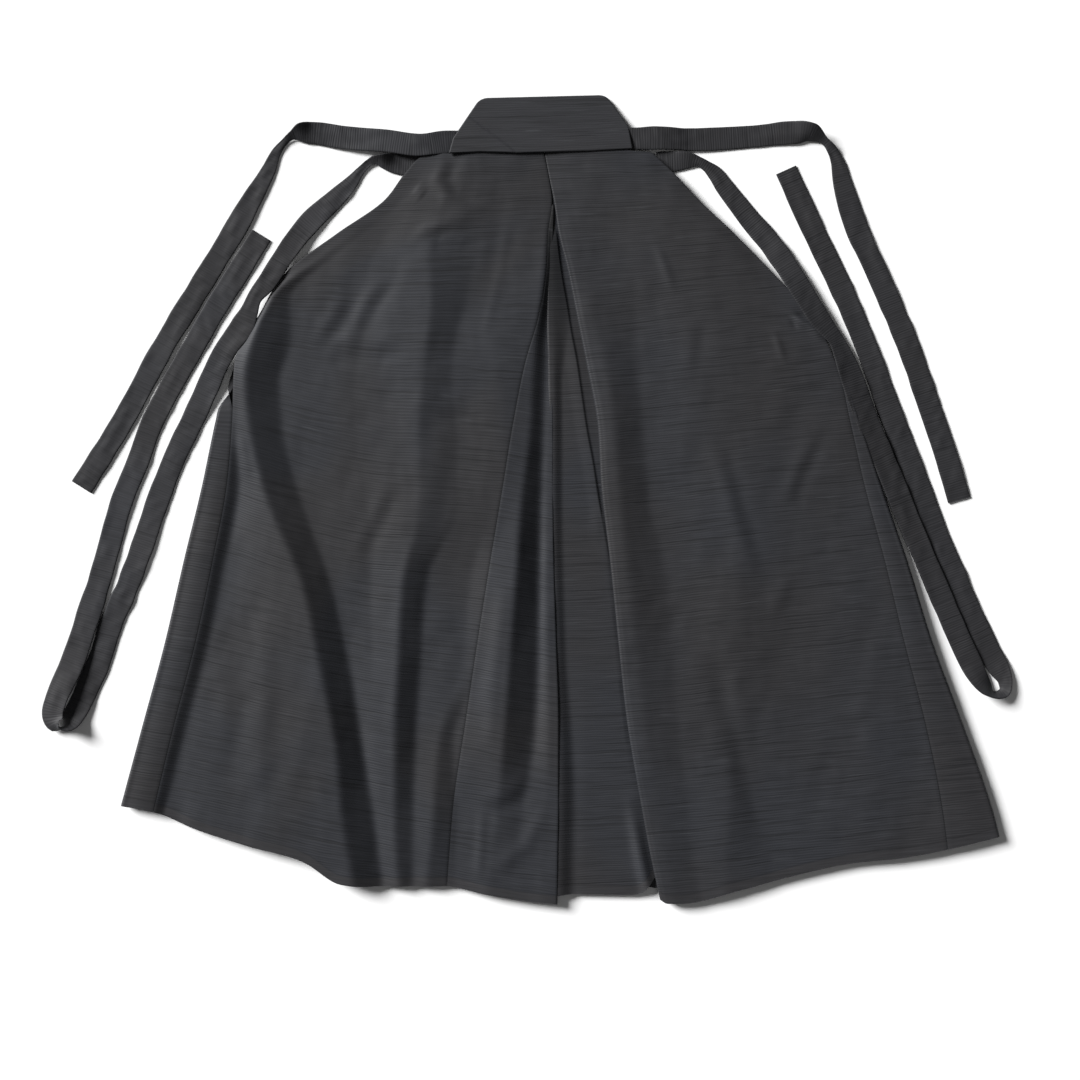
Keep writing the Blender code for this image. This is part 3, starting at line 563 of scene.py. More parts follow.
rightLeg = {
    "taps": (-7.5, -5, -2.5, 0, 2.5, 5, 7.5),
    "weights": (0.06, 0.13, 0.19, 0.24, 0.19, 0.13, 0.06),
    "drop": (0, 60, 130, 205, 280, 353, 427, 501, 574, 648, 722, 796, 857, 920),
    "lines": (
        (lineAt["pleatFold"], (0, 1, 2.4, 4.4, 5.6, 6.5, 6.7, 6.7, 5.9, 4.9, 4.3, 3.8, 3.4, 3.2)),
        ((36, 46, 60, 82, 100, 108, 114, 122, 130, 137, 147, 158, 168, 180),
         (0.5, 1.4, 2.8, 5.2, 7, 8, 8.2, 8.2, 7.2, 6, 5.2, 4.6, 4.2, 3.6)),
        ((60, 90, 121, 133, 137, 143, 151, 166, 178, 181, 187, 198, 202, 214),
         (1, 1.5, 1.6, 1.2, 0.8, 0.5, 0.4, 0.4, 0.8, 1.2, 1.4, 1.4, 1.2, 1)),
        ((90, 140, 201, 233, 238, 243, 250, 258, 263, 258, 248, 248, 245, 245),
         (1.5, 2, 3, 3.5, 4, 4, 4, 4.5, 4, 3.5, 3.5, 4, 4, 3.5)),
        ((140, 189, 263, 293, 306, 312, 317, 324, 324, 300, 282, 292, 297, 306),
         (1, 1.5, 2.5, 2.5, 2.5, 2.5, 2.2, 1.5, 1, 0.8, 0.5, 0.5, 0.5, 0.5)),
        (lineAt["seamRight"], (0, 0, 0.2, 0.4, 0.6, 1, 1.4, 1.8, 2, 2, 2, 2, 2, 2)),
    ),
    "creases": (
        (17, 1, (222, 344), (247, 418), (279, 525)), (17, -0.9, (236, 340), (259, 414), (291, 521)),
        (14, 0.9, (357, 337), (333, 386), (312, 439)), (14, -0.9, (369, 340), (344, 390), (323, 443)),
        (16, 0.8, (328, 509), (296, 574)), (16, 0.6, (205, 205), (197, 271)),
        (16, -0.6, (216, 206), (206, 272)), (9, 1, (160, 116), (180, 172)),
        (7, 1, (303, 221), (316, 258)), (5, -2.6, (330, 197), (352, 209), (373, 225)),
        (6, 2.6, (322, 200), (345, 214), (367, 231)), (5, -1.4, (328, 206), (327, 216)),
        (20, -1.6, (229, 615), (254, 713), (287, 836)),
    ),
    "weft": (-1, ((0, 0.15, 0.3, 0.7, 1), (-4, -3.8, -5.4, -4.2, -5.6), (20, 160))),
    "turnedUnder": 30.0,
    "nose": (1.33, 0.9, (420, 560)),  # how round the fold is, and what is taken off lower down
    "strip": (0.55, (3.5, 7), (60, 170)),  # height of the step beside the fold, and where it holds
    # along this column, on the fold's nose, a dark line of painted shade is drawn
    "paintedShadeColumn": 14,
    "unshaded": 9,
    "rows": 210,
    "columns": 150,
}
rightRelief = surface(rightLevel, rightLeg, rightLeg["creases"], 9)


def rightHeight(x, drop):
    # a narrow strip along the fold lies lower than the rest
    rise, beside, starting = rightLeg["strip"]
    step = ramp(x - lineAt["pleatFold"](drop), *beside)
    return rightRelief(x, drop) + rise * step * ramp(drop, *starting)


def rightLegCloth():
    fold, seam = lineAt["pleatFold"], lineAt["seamRight"]

    def bulge(drop):
        nose, less, lower = rightLeg["nose"]
        return nose - less * ramp(drop, *lower)

    def reach(drop):
        return rightLeg["turnedUnder"]

    columns = foldedColumns(fold, seam, rightHeight, leftLevel, 1, reach, rightLeg["columns"], bulge)
    grid = gridPoints(columns, over("waist"), over("hemRight"), rightLeg["rows"])
    return clothSheet("right_leg_cloth", grid, rightLeg, (0.71, 0.33))


front = {
    "top": 30.3,
    "hemShort": 4.0,  # how much shorter the lower layers are
    "edgeInset": 6.0,
    "edgeStep": 0.35,  # between columns that lie together at the opening
    "openingEnd": {"left": 285.0, "right": 240.0},
    "closing": 34,  # from there to where the side is closed
    "settled": 30,  # from there to the drop whose form the columns above take
    "nose": 0.65,
    "stripRise": {"left": 1.0, "right": 0.6},  # between the side and its seam, lower down
    "stripReach": (330, 470),
    "stripColumns": 18,
    "rows": 150,
    "pleats": {"left": (0.30, 0.55, 0.80), "right": (0.42, 0.76)},
    "depthWaist": {"left": 28, "right": 30},
    "depthHem": {"left": 62, "right": 70},
    "long": 900,
}


def frontColumns(side, inward):
    # one function of drop for each column, from the seam on the back, round the side, to the middle
    sideX = lineAt["side" + side.title()]
    seamX = lineAt["seam" + side.title()]
    high = leftHeight if side == "left" else rightHeight
    level = leftLevel if side == "left" else rightLevel
    ending = front["openingEnd"][side]
    radius = (level - floorLayer) / 2
    bottom, second = floorLayer, floorLayer + layer
    made = []

    def wrapped(share, angle, order):
        bow = radians(angle)
        crest = np.sin(pi * min(1.0, share * 1.15)) * front["stripRise"][side] if angle == 90 else 0

        def at(drop):
            below = np.maximum(drop, ending + front["settled"])
            top = high(seamX(below), below)
            turn = sideX(below) + inward * (front["nose"] + radius * (1 - np.cos(bow)))
            x = seamX(below) - inward * gap / 2
            x = x + (turn - x) * share + sideX(drop) - sideX(below)
            z = (top + bottom) / 2 + (top - bottom) / 2 * np.sin(bow)
            z = z - seamDip(abs(x - seamX(drop))) * (share < 0.5)
            z = z + crest * ramp(drop, *front["stripReach"])
            openX = sideX(drop) + inward * (front["edgeInset"] + front["edgeStep"] * order)
            closed = ramp(drop, ending, ending + front["closing"])
            return openX + (x - openX) * closed, bottom + (z - bottom) * closed

        return at

    strip = np.linspace(0, 1, front["stripColumns"])
    for order, share in enumerate(strip):
        made.append(wrapped(share, 90, order))
    for order, angle in enumerate(np.linspace(90, -90, 12)[1:]):
        made.append(wrapped(1, angle, len(strip) + order))

    def pleat(share):
        waist, hem = front["depthWaist"][side], front["depthHem"][side]

        def edge(drop):
            start = sideX(drop) + inward * front["edgeInset"]
            return start + (lineAt["centreFront"](drop) - start) * share

        def addPoint(back, shift, z):
            # back is a share of the pleat's depth
            def at(drop):
                depth = waist + (hem - waist) * drop / front["long"]
                return edge(drop) + inward * (shift - back * depth), z + 0 * drop

            made.append(at)

        def addNose(back, out, low, up):
            for bow in np.radians(np.linspace(-90, 90, 7)):
                z = (low + up) / 2 + (up - low) / 2 * np.sin(bow)
                addPoint(back, -out * (foldNose - 0.75 * np.cos(bow)), z)

        addPoint(0, -14, bottom)
        addNose(0, 1, bottom, second)
        for step in (0.3, 0.6, 0.85):
            addPoint(step, -foldNose * (1 - 2 * step), second)
        addNose(1, -1, second, pleatTop)
        for step in (0.85, 0.6, 0.3):
            addPoint(step, foldNose * step + 0.6 * (1 - step), pleatTop)
        # over its folded edge and down to the bottom
        for shift, up in ((0.6, 1), (2.4, 0.72), (4.2, 0.25), (6.0, 0)):
            addPoint(0, shift, pleatTop * up + bottom * (1 - up))

    for share in front["pleats"][side]:
        pleat(share)
    middle = lineAt["centreFront"]
    made.append(lambda drop: (middle(drop) - inward * gap / 2, bottom + 0 * drop))
    return made


def frontCloth(name, side, inward, weft, origin):
    made = frontColumns(side, inward)

    def columns(drop):
        drop = np.broadcast_to(drop, (drop.shape[0], len(made)))
        points = [column(drop[:, i]) for i, column in enumerate(made)]
        return np.stack([p[0] for p in points], axis=1), np.stack([p[1] for p in points], axis=1)

    def hem(x, z):
        return edgeAt["hemFront"](x) - front["hemShort"] * (z < goreLevel)

    grid = gridPoints(columns, levelWith(front["top"]), hem, front["rows"])
    if inward > 0:
        grid = grid[:, ::-1]
    return clothSheet(name, grid, {"weft": weft}, origin)


def roundedOff(away, reach):
    # 0 on an edge, rising in a quarter circle to 1
    return np.sqrt(1 - (1 - np.clip(away / reach, 0, 1)) ** 2)


band = {
    "left": -112.0,
    "right": 158.0,
    "top": 1.0,
    "low": 30.0,
    "thick": 2.8,
    "thin": 0.45,  # share of the thickness at its edges
    "round": 1.4,
    "columns": 90,
}
plainSide = 20  # added to the distance from an edge that isn't drawn as a hem


def bandCloth():
    # the front's waistband, hidden under the back
    x = np.linspace(band["left"], band["right"], band["columns"])[None, :]
    share = np.array([0, 0.03, 0.08, *np.linspace(0.14, 0.86, 9), 0.92, 0.97, 1])[:, None]
    drop = band["top"] + (band["low"] - band["top"]) * share + 0 * x
    x = x + 0 * drop
    toSide = np.minimum(x - band["left"], band["right"] - x)
    edge = np.minimum(np.minimum(drop - band["top"], band["low"] - drop), toSide)
    thin = band["thin"]
    half = band["thick"] / 2 * (thin + (1 - thin) * roundedOff(edge, band["round"]))
    middle = np.full_like(x, band["thick"] / 2)
    upper = placed(x, drop, middle + half)
    lower = placed(x, drop, middle - half)
    weave = np.dstack([drop, x]) * mm
    return shell("waistband_cloth", upper, lower, weave, np.dstack([edge + plainSide, edge]) * mm)


board = {
    "upper": ((-95, 3), (-90, -16), (-57, -67), (98, -71), (125, -31), (129.8, -3)),
    "lower": ((-95, 3), (-56, 1), (-13, 2.5), (79, 0), (129.8, -3)),
    "corner": 10.0,
    "ends": (-94.7, 129.6),
    "even": 0.18,  # how even the columns are; the rest of their spacing is closer at both ends
    "columns": 150,
    "rows": 60,
    "thick": 3.0,
    "thin": 0.3,
    "round": 1.6,
    "under": (0.2, 10.4, 71),  # gap under its far edge and under its foot, and how long it is
    "flap": ((-79, -48), (-64, -38), (-21, -5), (-14, 2)),  # edge of the cloth folded over the corner
    "flapRise": (0.55, (-0.2, 0.9)),
    "wave": (0.25, 40, 20),
    "weave": (2.1, 0.9),
}


def roundedCorner(before, corner, after):
    before, corner, after = (np.array(p, float) for p in (before, corner, after))
    start, end = (
        corner + (p - corner) / np.linalg.norm(p - corner) * board["corner"] for p in (before, after)
    )
    return [(1 - t) ** 2 * start + 2 * t * (1 - t) * corner + t * t * end for t in np.linspace(0, 1, 12)]


def boardCloth():
    points = board["upper"]
    corners = [*roundedCorner(*points[1:4]), *roundedCorner(*points[2:5])]
    top, low = np.array([*points[:2], *corners, *points[4:]]), np.array(board["lower"])
    left, right = board["ends"]
    even = board["even"]
    turn = np.linspace(0, pi, board["columns"])[None, :]
    x = left + (right - left) * ((1 - even) * (1 - np.cos(turn)) / 2 + even * turn / pi)
    start, end = np.interp(x, *top.T), np.interp(x, *low.T)
    turn = np.linspace(0, pi, board["rows"])[:, None]
    drop = start + (end - start) * (1 - np.cos(turn)) / 2
    x = x + 0 * drop
    away = alongPoints([*top, *low[-2::-1]], x, drop)[0]
    rounding = roundedOff(away, board["round"])
    half = board["thick"] / 2 * (board["thin"] + (1 - board["thin"]) * rounding)
    far, near, long = board["under"]
    middle = near + (near - far) * drop / long + board["thick"] / 2
    flapX, flapDrop = zip(*board["flap"])
    rise, edge = board["flapRise"]
    raised = rise * ramp(drop - np.interp(x, flapX, flapDrop), *edge) * (x < flapX[-1])
    high, across, down = board["wave"]
    raised = raised + high * softNoise(x, drop, across, down, 21)
    face = middle + half + np.maximum(raised, -0.4) * rounding * 0.9
    upper = placed(x, drop, face)
    lower = placed(x, drop, middle - half)
    weave = np.dstack([x, drop + 0.03 * x]) * mm + board["weave"]
    return shell("board_cloth", upper, lower, weave, np.dstack([away + plainSide, away]) * mm)


tie = {
    "wide": 29.0,
    "thick": 2.0,
    "thin": 0.22,  # share of the thickness at its edges
    "round": 0.1,
    "step": 3.0,
    "waves": ((0.8, 24, 0, 1.5), (0.35, 9, 12, 1)),  # height, length, lean and turns across
    "narrowing": (0.045, 18),
    # points along each tie: x, drop, lift, roll in degrees and share of the full width;
    # one with only x and drop lies flat at its full width
    "backLeft": (
        (-80, -13, 3.2, 0, 1), (-98, -12, 6.4, 0, 1), (-132, -8, 8.6, 0, 1), (-170, -13, 7.4, 0, 1),
        (-198, -15.5, 4.6, -1, 1), (-223, -18, 2, -4, 1), (-264, -24, 0, -10, 1),
        (-278, -23.5, 0, -30, 0.86), (-289, -20, 0, -36, 0.4), (-297, -13.5, 0, -16, 0.32),
        (-306, -3, 0, -4, 0.4), (-317, 21, 0, 0, 0.62), (-328, 41, 0, 0, 0.77), (-338, 58, 0, 0, 0.88),
        (-353, 85, 0, 2, 1), (-388, 143, 0, -2, 1), (-445, 236, 0, 2, 1), (-500, 336, 0, -1, 1),
        (-547, 411),
    ),
    "backRight": (
        (112, -16, 4.2, 0, 1), (129.6, -16, 6.2, 0, 1), (160, -17, 6.5, 0, 1), (205, -16, 1.5, 0, 1),
        (277, -20), (328, -24, 0, 14, 1), (350, -23, 0, 46, 0.95), (367, -13, 0, 46, 0.4),
        (376, -2, 0, 12, 0.48), (382, 10, 0, 0, 0.6), (388, 35, 0, 0, 0.85), (395, 60, 0, -2, 1),
        (406, 93), (432, 150, 0, 2, 1), (473, 247, 0, -1, 1), (494, 308), (517, 376, 0, 1, 1), (532, 427),
    ),
    "frontLeft": (
        (-113, 15), (-146, 14.5, 0, -2, 1), (-163, 13, 0, -6, 0.88), (-176, 11, 0, -34, 0.7),
        (-186, 9.5, 0, -46, 0.48), (-193, 12, 0, -14, 0.32), (-202, 20, 0, -4, 0.36),
        (-216, 37, 0, 0, 0.64), (-237, 58, 0, 0, 0.88), (-264, 83, 0, 2, 1), (-287, 112, 4, 0, 0.92),
        (-303, 137, 8, 0, 0.88), (-317, 160, 11, 0, 0.86), (-333, 181, 12.5, 0, 0.66),
        (-339, 197, 13, 0, 0.8), (-347, 214, 13, 0, 1.02), (-368, 243, 10, 0, 1), (-377, 258, 7, 0, 1),
        (-391, 287, 2, 2, 1), (-411, 330), (-430, 369), (-453, 427), (-471, 480, 0, 2, 1), (-491, 534),
        (-512, 582, 0, 0, 1.02), (-523, 618, 0, 0, 1.04), (-530, 636, 0, 0, 1.04),
        (-537.5, 652, 0, 0, 1.04), (-546, 672, 0, 2, 1.04), (-555, 689, 0, 8, 1.02),
        (-563, 702, 0.4, 40, 0.9), (-570, 706, 1.6, 96, 0.7), (-576, 703, 3.8, 146, 0.88),
        (-580, 691, 6, 168, 1.04), (-576, 672, 7.6, 172, 1.05), (-568, 652, 7, 175, 1.06),
        (-560, 634, 5.4, 177, 1.06), (-548, 600, 3.6, 179, 1.06), (-538, 568, 2.6, 180, 1.06),
        (-529, 540, 1.3, 180, 1.03), (-512, 480, 0, 180, 1), (-497, 427, 0, 178, 1),
        (-477, 378, 0, 180, 1), (-462, 336, 0, 182, 1), (-441, 294, 0, 180, 1), (-412, 243, 0, 180, 1),
        (-381, 189, 0, 179, 1), (-352, 143, 0, 180, 1), (-326, 101, 0, 180, 1),
    ),
    "frontRight": (
        (161, 13), (180, 11, 0, 4, 0.9), (201, 9.5, 0, 14, 0.68), (214, 12, 0, 14, 0.42),
        (222, 17, 0, 6, 0.48), (230.5, 24, 0, 0, 0.68), (243, 41, 0, 0, 0.8), (259.5, 62.5, 0, 0, 0.9),
        (273.5, 80.5, 0, 0, 0.95), (295, 106, 1, 0, 1), (311, 128, 3, -2, 1), (336, 168, 6, -8, 1),
        (354.5, 198, 6, -10, 1), (366, 214, 5.6, -12, 0.88), (379, 230, 5.2, -14, 0.72),
        (387, 247, 4.4, -13, 0.88), (395.5, 268, 3.6, -12, 1.06), (413.5, 318, 3.2, -11, 1.1),
        (424, 345, 3, -10, 1.1), (445, 393, 2.8, -8, 1.08), (467, 447, 2.8, -5, 1.03),
        (490, 501, 2.8, -2, 1), (512, 552, 2.8, 0, 1), (532, 598, 2.8, 0, 1), (545, 626, 2.6, -4, 1),
        (554.5, 645, 2, -24, 1), (563, 657, 1, -42, 0.93), (574, 666, 0, -62, 0.55),
        (587, 662, 0, -30, 0.52), (588, 650, 0, -16, 0.62), (581, 634, 0, -4, 0.9), (570.5, 616),
        (560, 594), (542, 556), (524, 513), (508, 476), (490.5, 432, 0, 1, 1.03), (474, 388, 0, 0, 1.04),
        (446, 316, 0, 0, 1.04), (426.5, 261, 0, 0, 1.02), (406, 210), (384, 160), (353, 96), (319, 21),
    ),
}


def tieCloth(name, route, seed):
    # a flat folded band along a route, whose lower edge keeps the route's lift while it rolls
    rows = np.array([(*point, 0, 0, 1)[:5] for point in route], float)
    along = np.concatenate([[0], np.cumsum(np.hypot(*np.diff(rows[:, :2], axis=0).T))])
    xAt, dropAt, liftAt, rollAt, shareAt = (curveThrough(along, rows[:, i], i > 1) for i in range(5))
    s = np.linspace(0, along[-1], ceil(along[-1] / tie["step"]) + 1)
    ahead = np.stack([xAt(s + 1) - xAt(s - 1), dropAt(s - 1) - dropAt(s + 1)], axis=1)
    ahead /= np.linalg.norm(ahead, axis=1, keepdims=True)
    roll = np.radians(rollAt(s))
    share = np.array([-1, -0.97, -0.9, -0.75, -0.5, -0.25, 0, 0.25, 0.5, 0.75, 0.9, 0.97, 1])
    across = np.stack([-ahead[:, 1] * np.cos(roll), ahead[:, 0] * np.cos(roll), np.sin(roll)], axis=1)
    face = np.stack([ahead[:, 1] * np.sin(roll), -ahead[:, 0] * np.sin(roll), np.cos(roll)], axis=1)
    wide = tie["wide"] * shareAt(s)
    standing = wide / 2 * abs(across[:, 2]) + tie["thick"] / 2 * abs(face[:, 2])
    middle = np.stack([xAt(s), waistY - dropAt(s), np.maximum(liftAt(s), 0) + standing], axis=1)
    wave = 0
    for order, (high, length, lean, turns) in enumerate(tie["waves"]):
        wave = wave + high * softNoise(s[:, None] + lean * share, turns * share, length, 1, seed + order)
    lifted = np.maximum(wave, -0.1) * abs(face[:, 2:3])
    less, length = tie["narrowing"]
    narrow = 1 - less * (1 + softNoise(s, 0 * s, length, 1, seed + 2))
    reach = share * (wide / 2 * narrow)[:, None]
    place = middle[:, None, :] + across[:, None, :] * reach[:, :, None]
    place = place + (0, 0, 1) * lifted[:, :, None]
    toEdge = 1 - abs(share)
    thin = tie["thin"] + (1 - tie["thin"]) * roundedOff(toEdge, tie["round"])
    half = face[:, None, :] * (tie["thick"] / 2 * 0.9 * thin)[None, :, None]
    flat = tie["wide"] / 2
    weave = np.dstack([flat * share + 0 * wave, s[:, None] + 0 * wave]) * mm + (0.5 + seed, 0.0)
    side = np.dstack([100 + 0 * wave, flat * toEdge + 0 * wave]) * mm
    return shell(name, place + half, place - half, weave, side), along[-1] * mm


class Value:
    # one shader value; arithmetic on it adds Math nodes
    def __init__(self, tree, socket):
        self.tree = tree
        self.socket = socket

    def math(self, operation, *others):
        values = dict(enumerate((self,) + others))
        return makeNode(self.tree, "ShaderNodeMath", {"operation": operation}, values)

    def __add__(self, other):
        return self.math("ADD", other)

    def __sub__(self, other):
        return self.math("SUBTRACT", other)

    def __rsub__(self, other):
        return self.math("MULTIPLY", -1) + other

    def __mul__(self, other):
        return self.math("MULTIPLY", other)

    __radd__ = __add__
    __rmul__ = __mul__

    def step(self, start, end):
        # 0 below start and 1 above end, smooth between
        settings = {"interpolation_type": "SMOOTHSTEP"}
        return makeNode(self.tree, "ShaderNodeMapRange", settings, {0: self, 1: start, 2: end})


def makeNode(tree, kind, settings, values, output=0):
    node = tree.nodes.new(kind)
    for key, value in settings.items():
        setattr(node, key, value)
    for key, value in values.items():
        if isinstance(value, Value):
            tree.links.new(value.socket, node.inputs[key])
        else:
            node.inputs[key].default_value = value
    return Value(tree, node.outputs[output])


def setInputs(node, values):
    for key, value in values.items():
        node.inputs[key].default_value = value


def uvMap(tree, name):
    node = makeNode(tree, "ShaderNodeUVMap", {"uv_map": name}, {})
    return [makeNode(tree, "ShaderNodeSeparateXYZ", {}, {0: node}, i) for i in range(2)]


def joined(tree, x, y, z):
    return makeNode(tree, "ShaderNodeCombineXYZ", {}, {0: x, 1: y, 2: z})


def noiseOf(tree, x, y, z, detail, rough):
    values = {"Vector": joined(tree, x, y, z), "Scale": 1.0, "Detail": detail, "Roughness": rough}
    return makeNode(tree, "ShaderNodeTexNoise", {}, values)


def mixed(tree, share, first, second):
    # a colour between two others
    settings = {"data_type": "RGBA"}
    return makeNode(tree, "ShaderNodeMix", settings, {0: share, 6: first, 7: second}, 2)


# lengths in metres
weave = {
    "cool": (0.0201, 0.0212, 0.0253, 1),
    "warm": (0.0217, 0.0212, 0.0231, 1),
    "shadow": (0.0090, 0.0092, 0.0104, 1),
    "thread": (0.0700, 0.0745, 0.0810, 1),
    "ribWide": 0.0029,
    "ribDepth": 0.00007,
    "slubDepth": 0.00022,
    "darkDepth": 0.00018,
    "lightDepth": 0.00012,
    "rough": 0.62,
    "shine": {
        "Specular IOR Level": 0.26,
        "Sheen Weight": 0.06,
        "Sheen Roughness": 0.45,
        "Sheen Tint": (0.80, 0.88, 1.0, 1),
    },
    # noises: cells to the metre across and down, place, detail and roughness
    "wander": (9.0, 14.0, 0, 2.0, 0.5),
    "fine": (45.0, 90.0, 3, 1.0, 0.5),
    "long": (18.0, 310.0, 5, 2.0, 0.6),
    "dark": (7.5, 270.0, 9, 1.0, 0.5),
    "light": (16.0, 340.0, 13, 1.0, 0.5),
    "patch": (5.0, 4.0, 17, 2.0, 0.5),
    "ribbing": (34.0, 60.0, 21, 1.0, 0.5),
    # distances from the hem or side between which the weave, both sides of the stitches, the dark line
    # beside a seam or along a column of painted shade, and the painted shade far above the hem come in
    "plain": (0.0095, 0.0125),
    "stitch": ((0.0100, 0.0112), (0.0118, 0.0130)),
    "seam": (0.0, 0.0012),
    "paintedShade": (0.64, 0.78),
}


def weaveMaterial(name, tint, warmth, seed, slubs, paintedShade):
    # slubs is how strong the dark and light threads are, and the last value how dark the painted shade
    # turns the cloth far above the hem, deep in the pleat that the legs would shadow
    made = bpy.data.materials.new(name)
    made.use_nodes = True
    tree = made.node_tree
    shader = tree.nodes["Principled BSDF"]
    u, v = uvMap(tree, "cloth")
    toHem, toSide = uvMap(tree, "edges")

    def varied(key, down):
        across, downward, place, detail, rough = weave[key]
        return noiseOf(tree, u * across, down * downward, seed + place, detail, rough)

    down = v + (varied("wander", v) - 0.5) * 0.0060 + (varied("fine", v) - 0.5) * 0.0016
    ribs = (down * (2 * pi / weave["ribWide"])).math("SINE")
    long = varied("long", down) - 0.5
    patch = varied("patch", v)
    plain = toHem.step(*weave["plain"])  # the turned hem shows less of the weave
    before, after = weave["stitch"]
    stitch = toHem.step(*before) * (1 - toHem.step(*after))
    ribbing = varied("ribbing", v).step(0.35, 0.65)
    darkLine = varied("dark", down).step(0.56, 0.70) * (0.35 + 0.65 * plain) * slubs
    lightLine = varied("light", down).step(0.66, 0.80) * (0.30 + 0.70 * plain) * slubs
    body = mixed(tree, patch.step(0.35, 0.7) * (1 - warmth) * plain, weave["warm"], weave["cool"])
    grainAndPaintedLight = 1 + ribs * 0.17 * (0.25 + 0.75 * ribbing) * plain + long * 0.80
    # the turned hem band is also painted 12 percent lighter, a painted highlight along the hem
    grainAndPaintedLight = grainAndPaintedLight * (0.92 + 0.16 * patch) * tint * (1.12 - 0.12 * plain) * (1 - stitch * 0.22)
    # painted shade: far above the hem, deep in the pleat that the legs would shadow, the cloth is painted
    # darker
    if paintedShade:
        grainAndPaintedLight = grainAndPaintedLight * (1 - toHem.step(*weave["paintedShade"]) * paintedShade)
    scaled = makeNode(tree, "ShaderNodeVectorMath", {"operation": "SCALE"}, {0: body, "Scale": grainAndPaintedLight})
    shaded = mixed(tree, darkLine * 0.50, scaled, weave["shadow"])
    threaded = mixed(tree, lightLine * 0.22, shaded, weave["thread"])
    # dark line beside the seams and edges of each piece, and along its column of painted shade, where it
    # is painted shade at a crease or fold edge
    seam = 1 - toSide.step(*weave["seam"])
    colour = mixed(tree, seam * 0.75, threaded, weave["shadow"])
    tree.links.new(colour.socket, shader.inputs["Base Color"])
    high = ribs * weave["ribDepth"] * (0.3 + 0.7 * plain) + long * weave["slubDepth"]
    high = high - darkLine * weave["darkDepth"] + lightLine * weave["lightDepth"]
    bump = makeNode(tree, "ShaderNodeBump", {}, {"Strength": 0.8, "Distance": 1.0, "Height": high})
    tree.links.new(bump.socket, shader.inputs["Normal"])
    rough = weave["rough"] + long * 0.12
    tree.links.new(rough.socket, shader.inputs["Roughness"])
    setInputs(shader, weave["shine"])


def dress(piece, weaveName, slot, node, **sheet):
    piece.data.materials.append(bpy.data.materials[weaveName])
    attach(piece, "root")
    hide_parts(node)


# tint, warmth, seed, slubs and painted shade of each cloth
weaves = {
    "back_weave": (1.0, 0.0, 1.0, 1.0, 0.0),
    "left_weave": (0.98, -1.2, 1.0, 1.0, 0.0),
    "front_weave": (1.0, 0.1, 31.0, 1.0, 0.0),
    "pleat_painted_shade_weave": (1.03, -0.6, 1.0, 1.0, 0.68),
    "board_weave": (0.90, 0.25, 57.0, 1.3, 0.0),
    # the front left tie is painted lighter and the right ties darker, painted light and shade on one tie
    # cloth
    "left_tie_painted_light_weave": (1.12, 0.1, 71.0, 0.8, 0.0),
    "right_tie_painted_shade_weave": (0.88, 0.7, 83.0, 0.8, 0.0),
    "back_tie_weave": (0.98, 0.4, 77.0, 0.8, 0.0),
}
for name, settings in weaves.items():
    weaveMaterial(name, *settings)
print("weaves made")

dress(leftLegCloth(), "left_weave", "back_cloth", "back_left_panel",
      flat=(0.40, 0.93), area=0.28, rests_on=["front_left_cloth", "left_gore_cloth"])
print("left leg laid")
dress(leftGoreCloth(), "pleat_painted_shade_weave", "back_cloth", "left_inner_gore",
      flat=(0.16, 0.78), area=0.08, rests_on=["right_gore_cloth"])
dress(rightGoreCloth(), "pleat_painted_shade_weave", "back_cloth", "right_inner_gore",
      flat=(0.18, 0.88), area=0.105, rests_on=["front_left_cloth", "front_right_cloth"])
dress(rightLegCloth(), "back_weave", "back_cloth", "back_right_panel",
      flat=(0.42, 0.93), area=0.30, rests_on=["front_right_cloth", "left_leg_cloth"])
print("right leg laid")
weft = (0, ((0, 1), (9, 9), (150, 400)))
frontLeft = frontCloth("front_left_cloth", "left", 1, weft, (3.1, 0.2))
dress(frontLeft, "front_weave", "front_cloth", "front_left_panel",
      flat=(0.86, 0.89), area=0.56, rests_on=["floor"])
weft = (0, ((0, 1), (-5, -5), (150, 400)))
frontRight = frontCloth("front_right_cloth", "right", -1, weft, (4.3, 0.7))
dress(frontRight, "front_weave", "front_cloth", "front_right_panel",
      flat=(0.86, 0.89), area=0.56, rests_on=["floor"])
dress(bandCloth(), "front_weave", "front_cloth", "front_waistband", flat=(0.27, 0.029), rests_on=["floor"])
print("fronts laid")
dress(boardCloth(), "board_weave", "board_cloth", "koshi_ita")
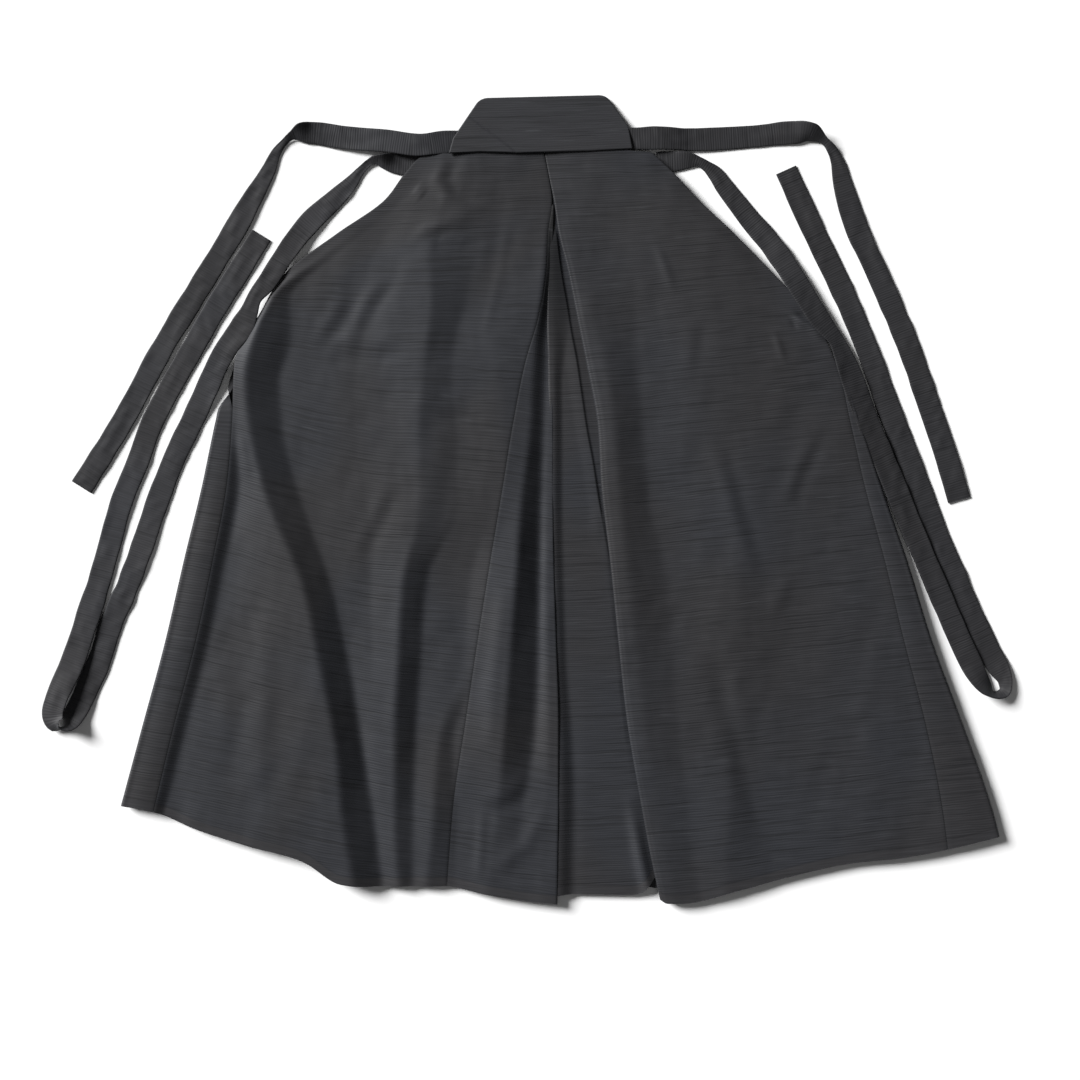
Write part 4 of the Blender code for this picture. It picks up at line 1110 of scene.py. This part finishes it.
for name, key, node, weaveName, seed in (
    ("back_tie_left_cloth", "backLeft", "back_tie_left", "back_tie_weave", 41),
    ("back_tie_right_cloth", "backRight", "back_tie_right", "right_tie_painted_shade_weave", 44),
    ("front_tie_left_cloth", "frontLeft", "front_tie_left", "left_tie_painted_light_weave", 47),
    ("front_tie_right_cloth", "frontRight", "front_tie_right", "right_tie_painted_shade_weave", 50),
):
    piece, long = tieCloth(name, tie[key], seed)
    print(name, "length", round(long, 3))
    dress(piece, weaveName, "tie_cloth", node, flat=(0.029, long), rests_on=["floor"])
print("ties laid")

ground = {
    "half": 4,
    "level": -0.0005,
    "look": {"Base Color": (0.93, 0.93, 0.93, 1), "Roughness": 0.9},
}
floorMesh = bpy.data.meshes.new("floor")
corners = [(x * ground["half"], y * ground["half"], 0) for x, y in ((-1, -1), (1, -1), (1, 1), (-1, 1))]
floorMesh.from_pydata(corners, [], [(0, 1, 2, 3)])
floor = bpy.data.objects.new("floor", floorMesh)
scene.collection.objects.link(floor)
floorMaterial = bpy.data.materials.new("floor_white")
floorMaterial.use_nodes = True
setInputs(floorMaterial.node_tree.nodes["Principled BSDF"], ground["look"])
floorMesh.materials.append(floorMaterial)
floor.location.z = ground["level"]

light = {
    "from": (-3.9, 2.2, 2.35),  # where the main light comes from
    "strength": 7.4,
    "spread": 24,  # degrees
    "fill": ((0.4, -0.6, 3.0), 3.0, 6),  # place, size and power
    "world": {"Color": (1, 1, 1, 1), "Strength": 0.06},
}


def lamp(name, kind, place):
    made = bpy.data.lights.new(name, kind)
    holder = bpy.data.objects.new(name, made)
    holder.location = place
    holder.rotation_mode = "QUATERNION"
    holder.rotation_quaternion = (-Vector(place)).to_track_quat("-Z", "Y")
    scene.collection.objects.link(holder)
    return made


key = lamp("key", "SUN", light["from"])
key.energy = light["strength"]
key.angle = radians(light["spread"])
fill = lamp("fill", "AREA", light["fill"][0])
fill.shape = "DISK"
fill.size, fill.energy = light["fill"][1:]
world = bpy.data.worlds.new("studio")
world.use_nodes = True
setInputs(world.node_tree.nodes["Background"], light["world"])
scene.world = world
scene.view_settings.view_transform = "Standard"

view = {"middle": (0.0166, -0.0503), "height": 2.2, "across": 1.3284, "sensor": 36}
camera = bpy.data.cameras.new("camera")
camera.sensor_width = view["sensor"]
camera.lens = view["sensor"] * view["height"] / view["across"]
cameraObject = bpy.data.objects.new("camera", camera)
cameraObject.location = (*view["middle"], view["height"])
scene.collection.objects.link(cameraObject)
scene.camera = cameraObject
print("camera and lights set")
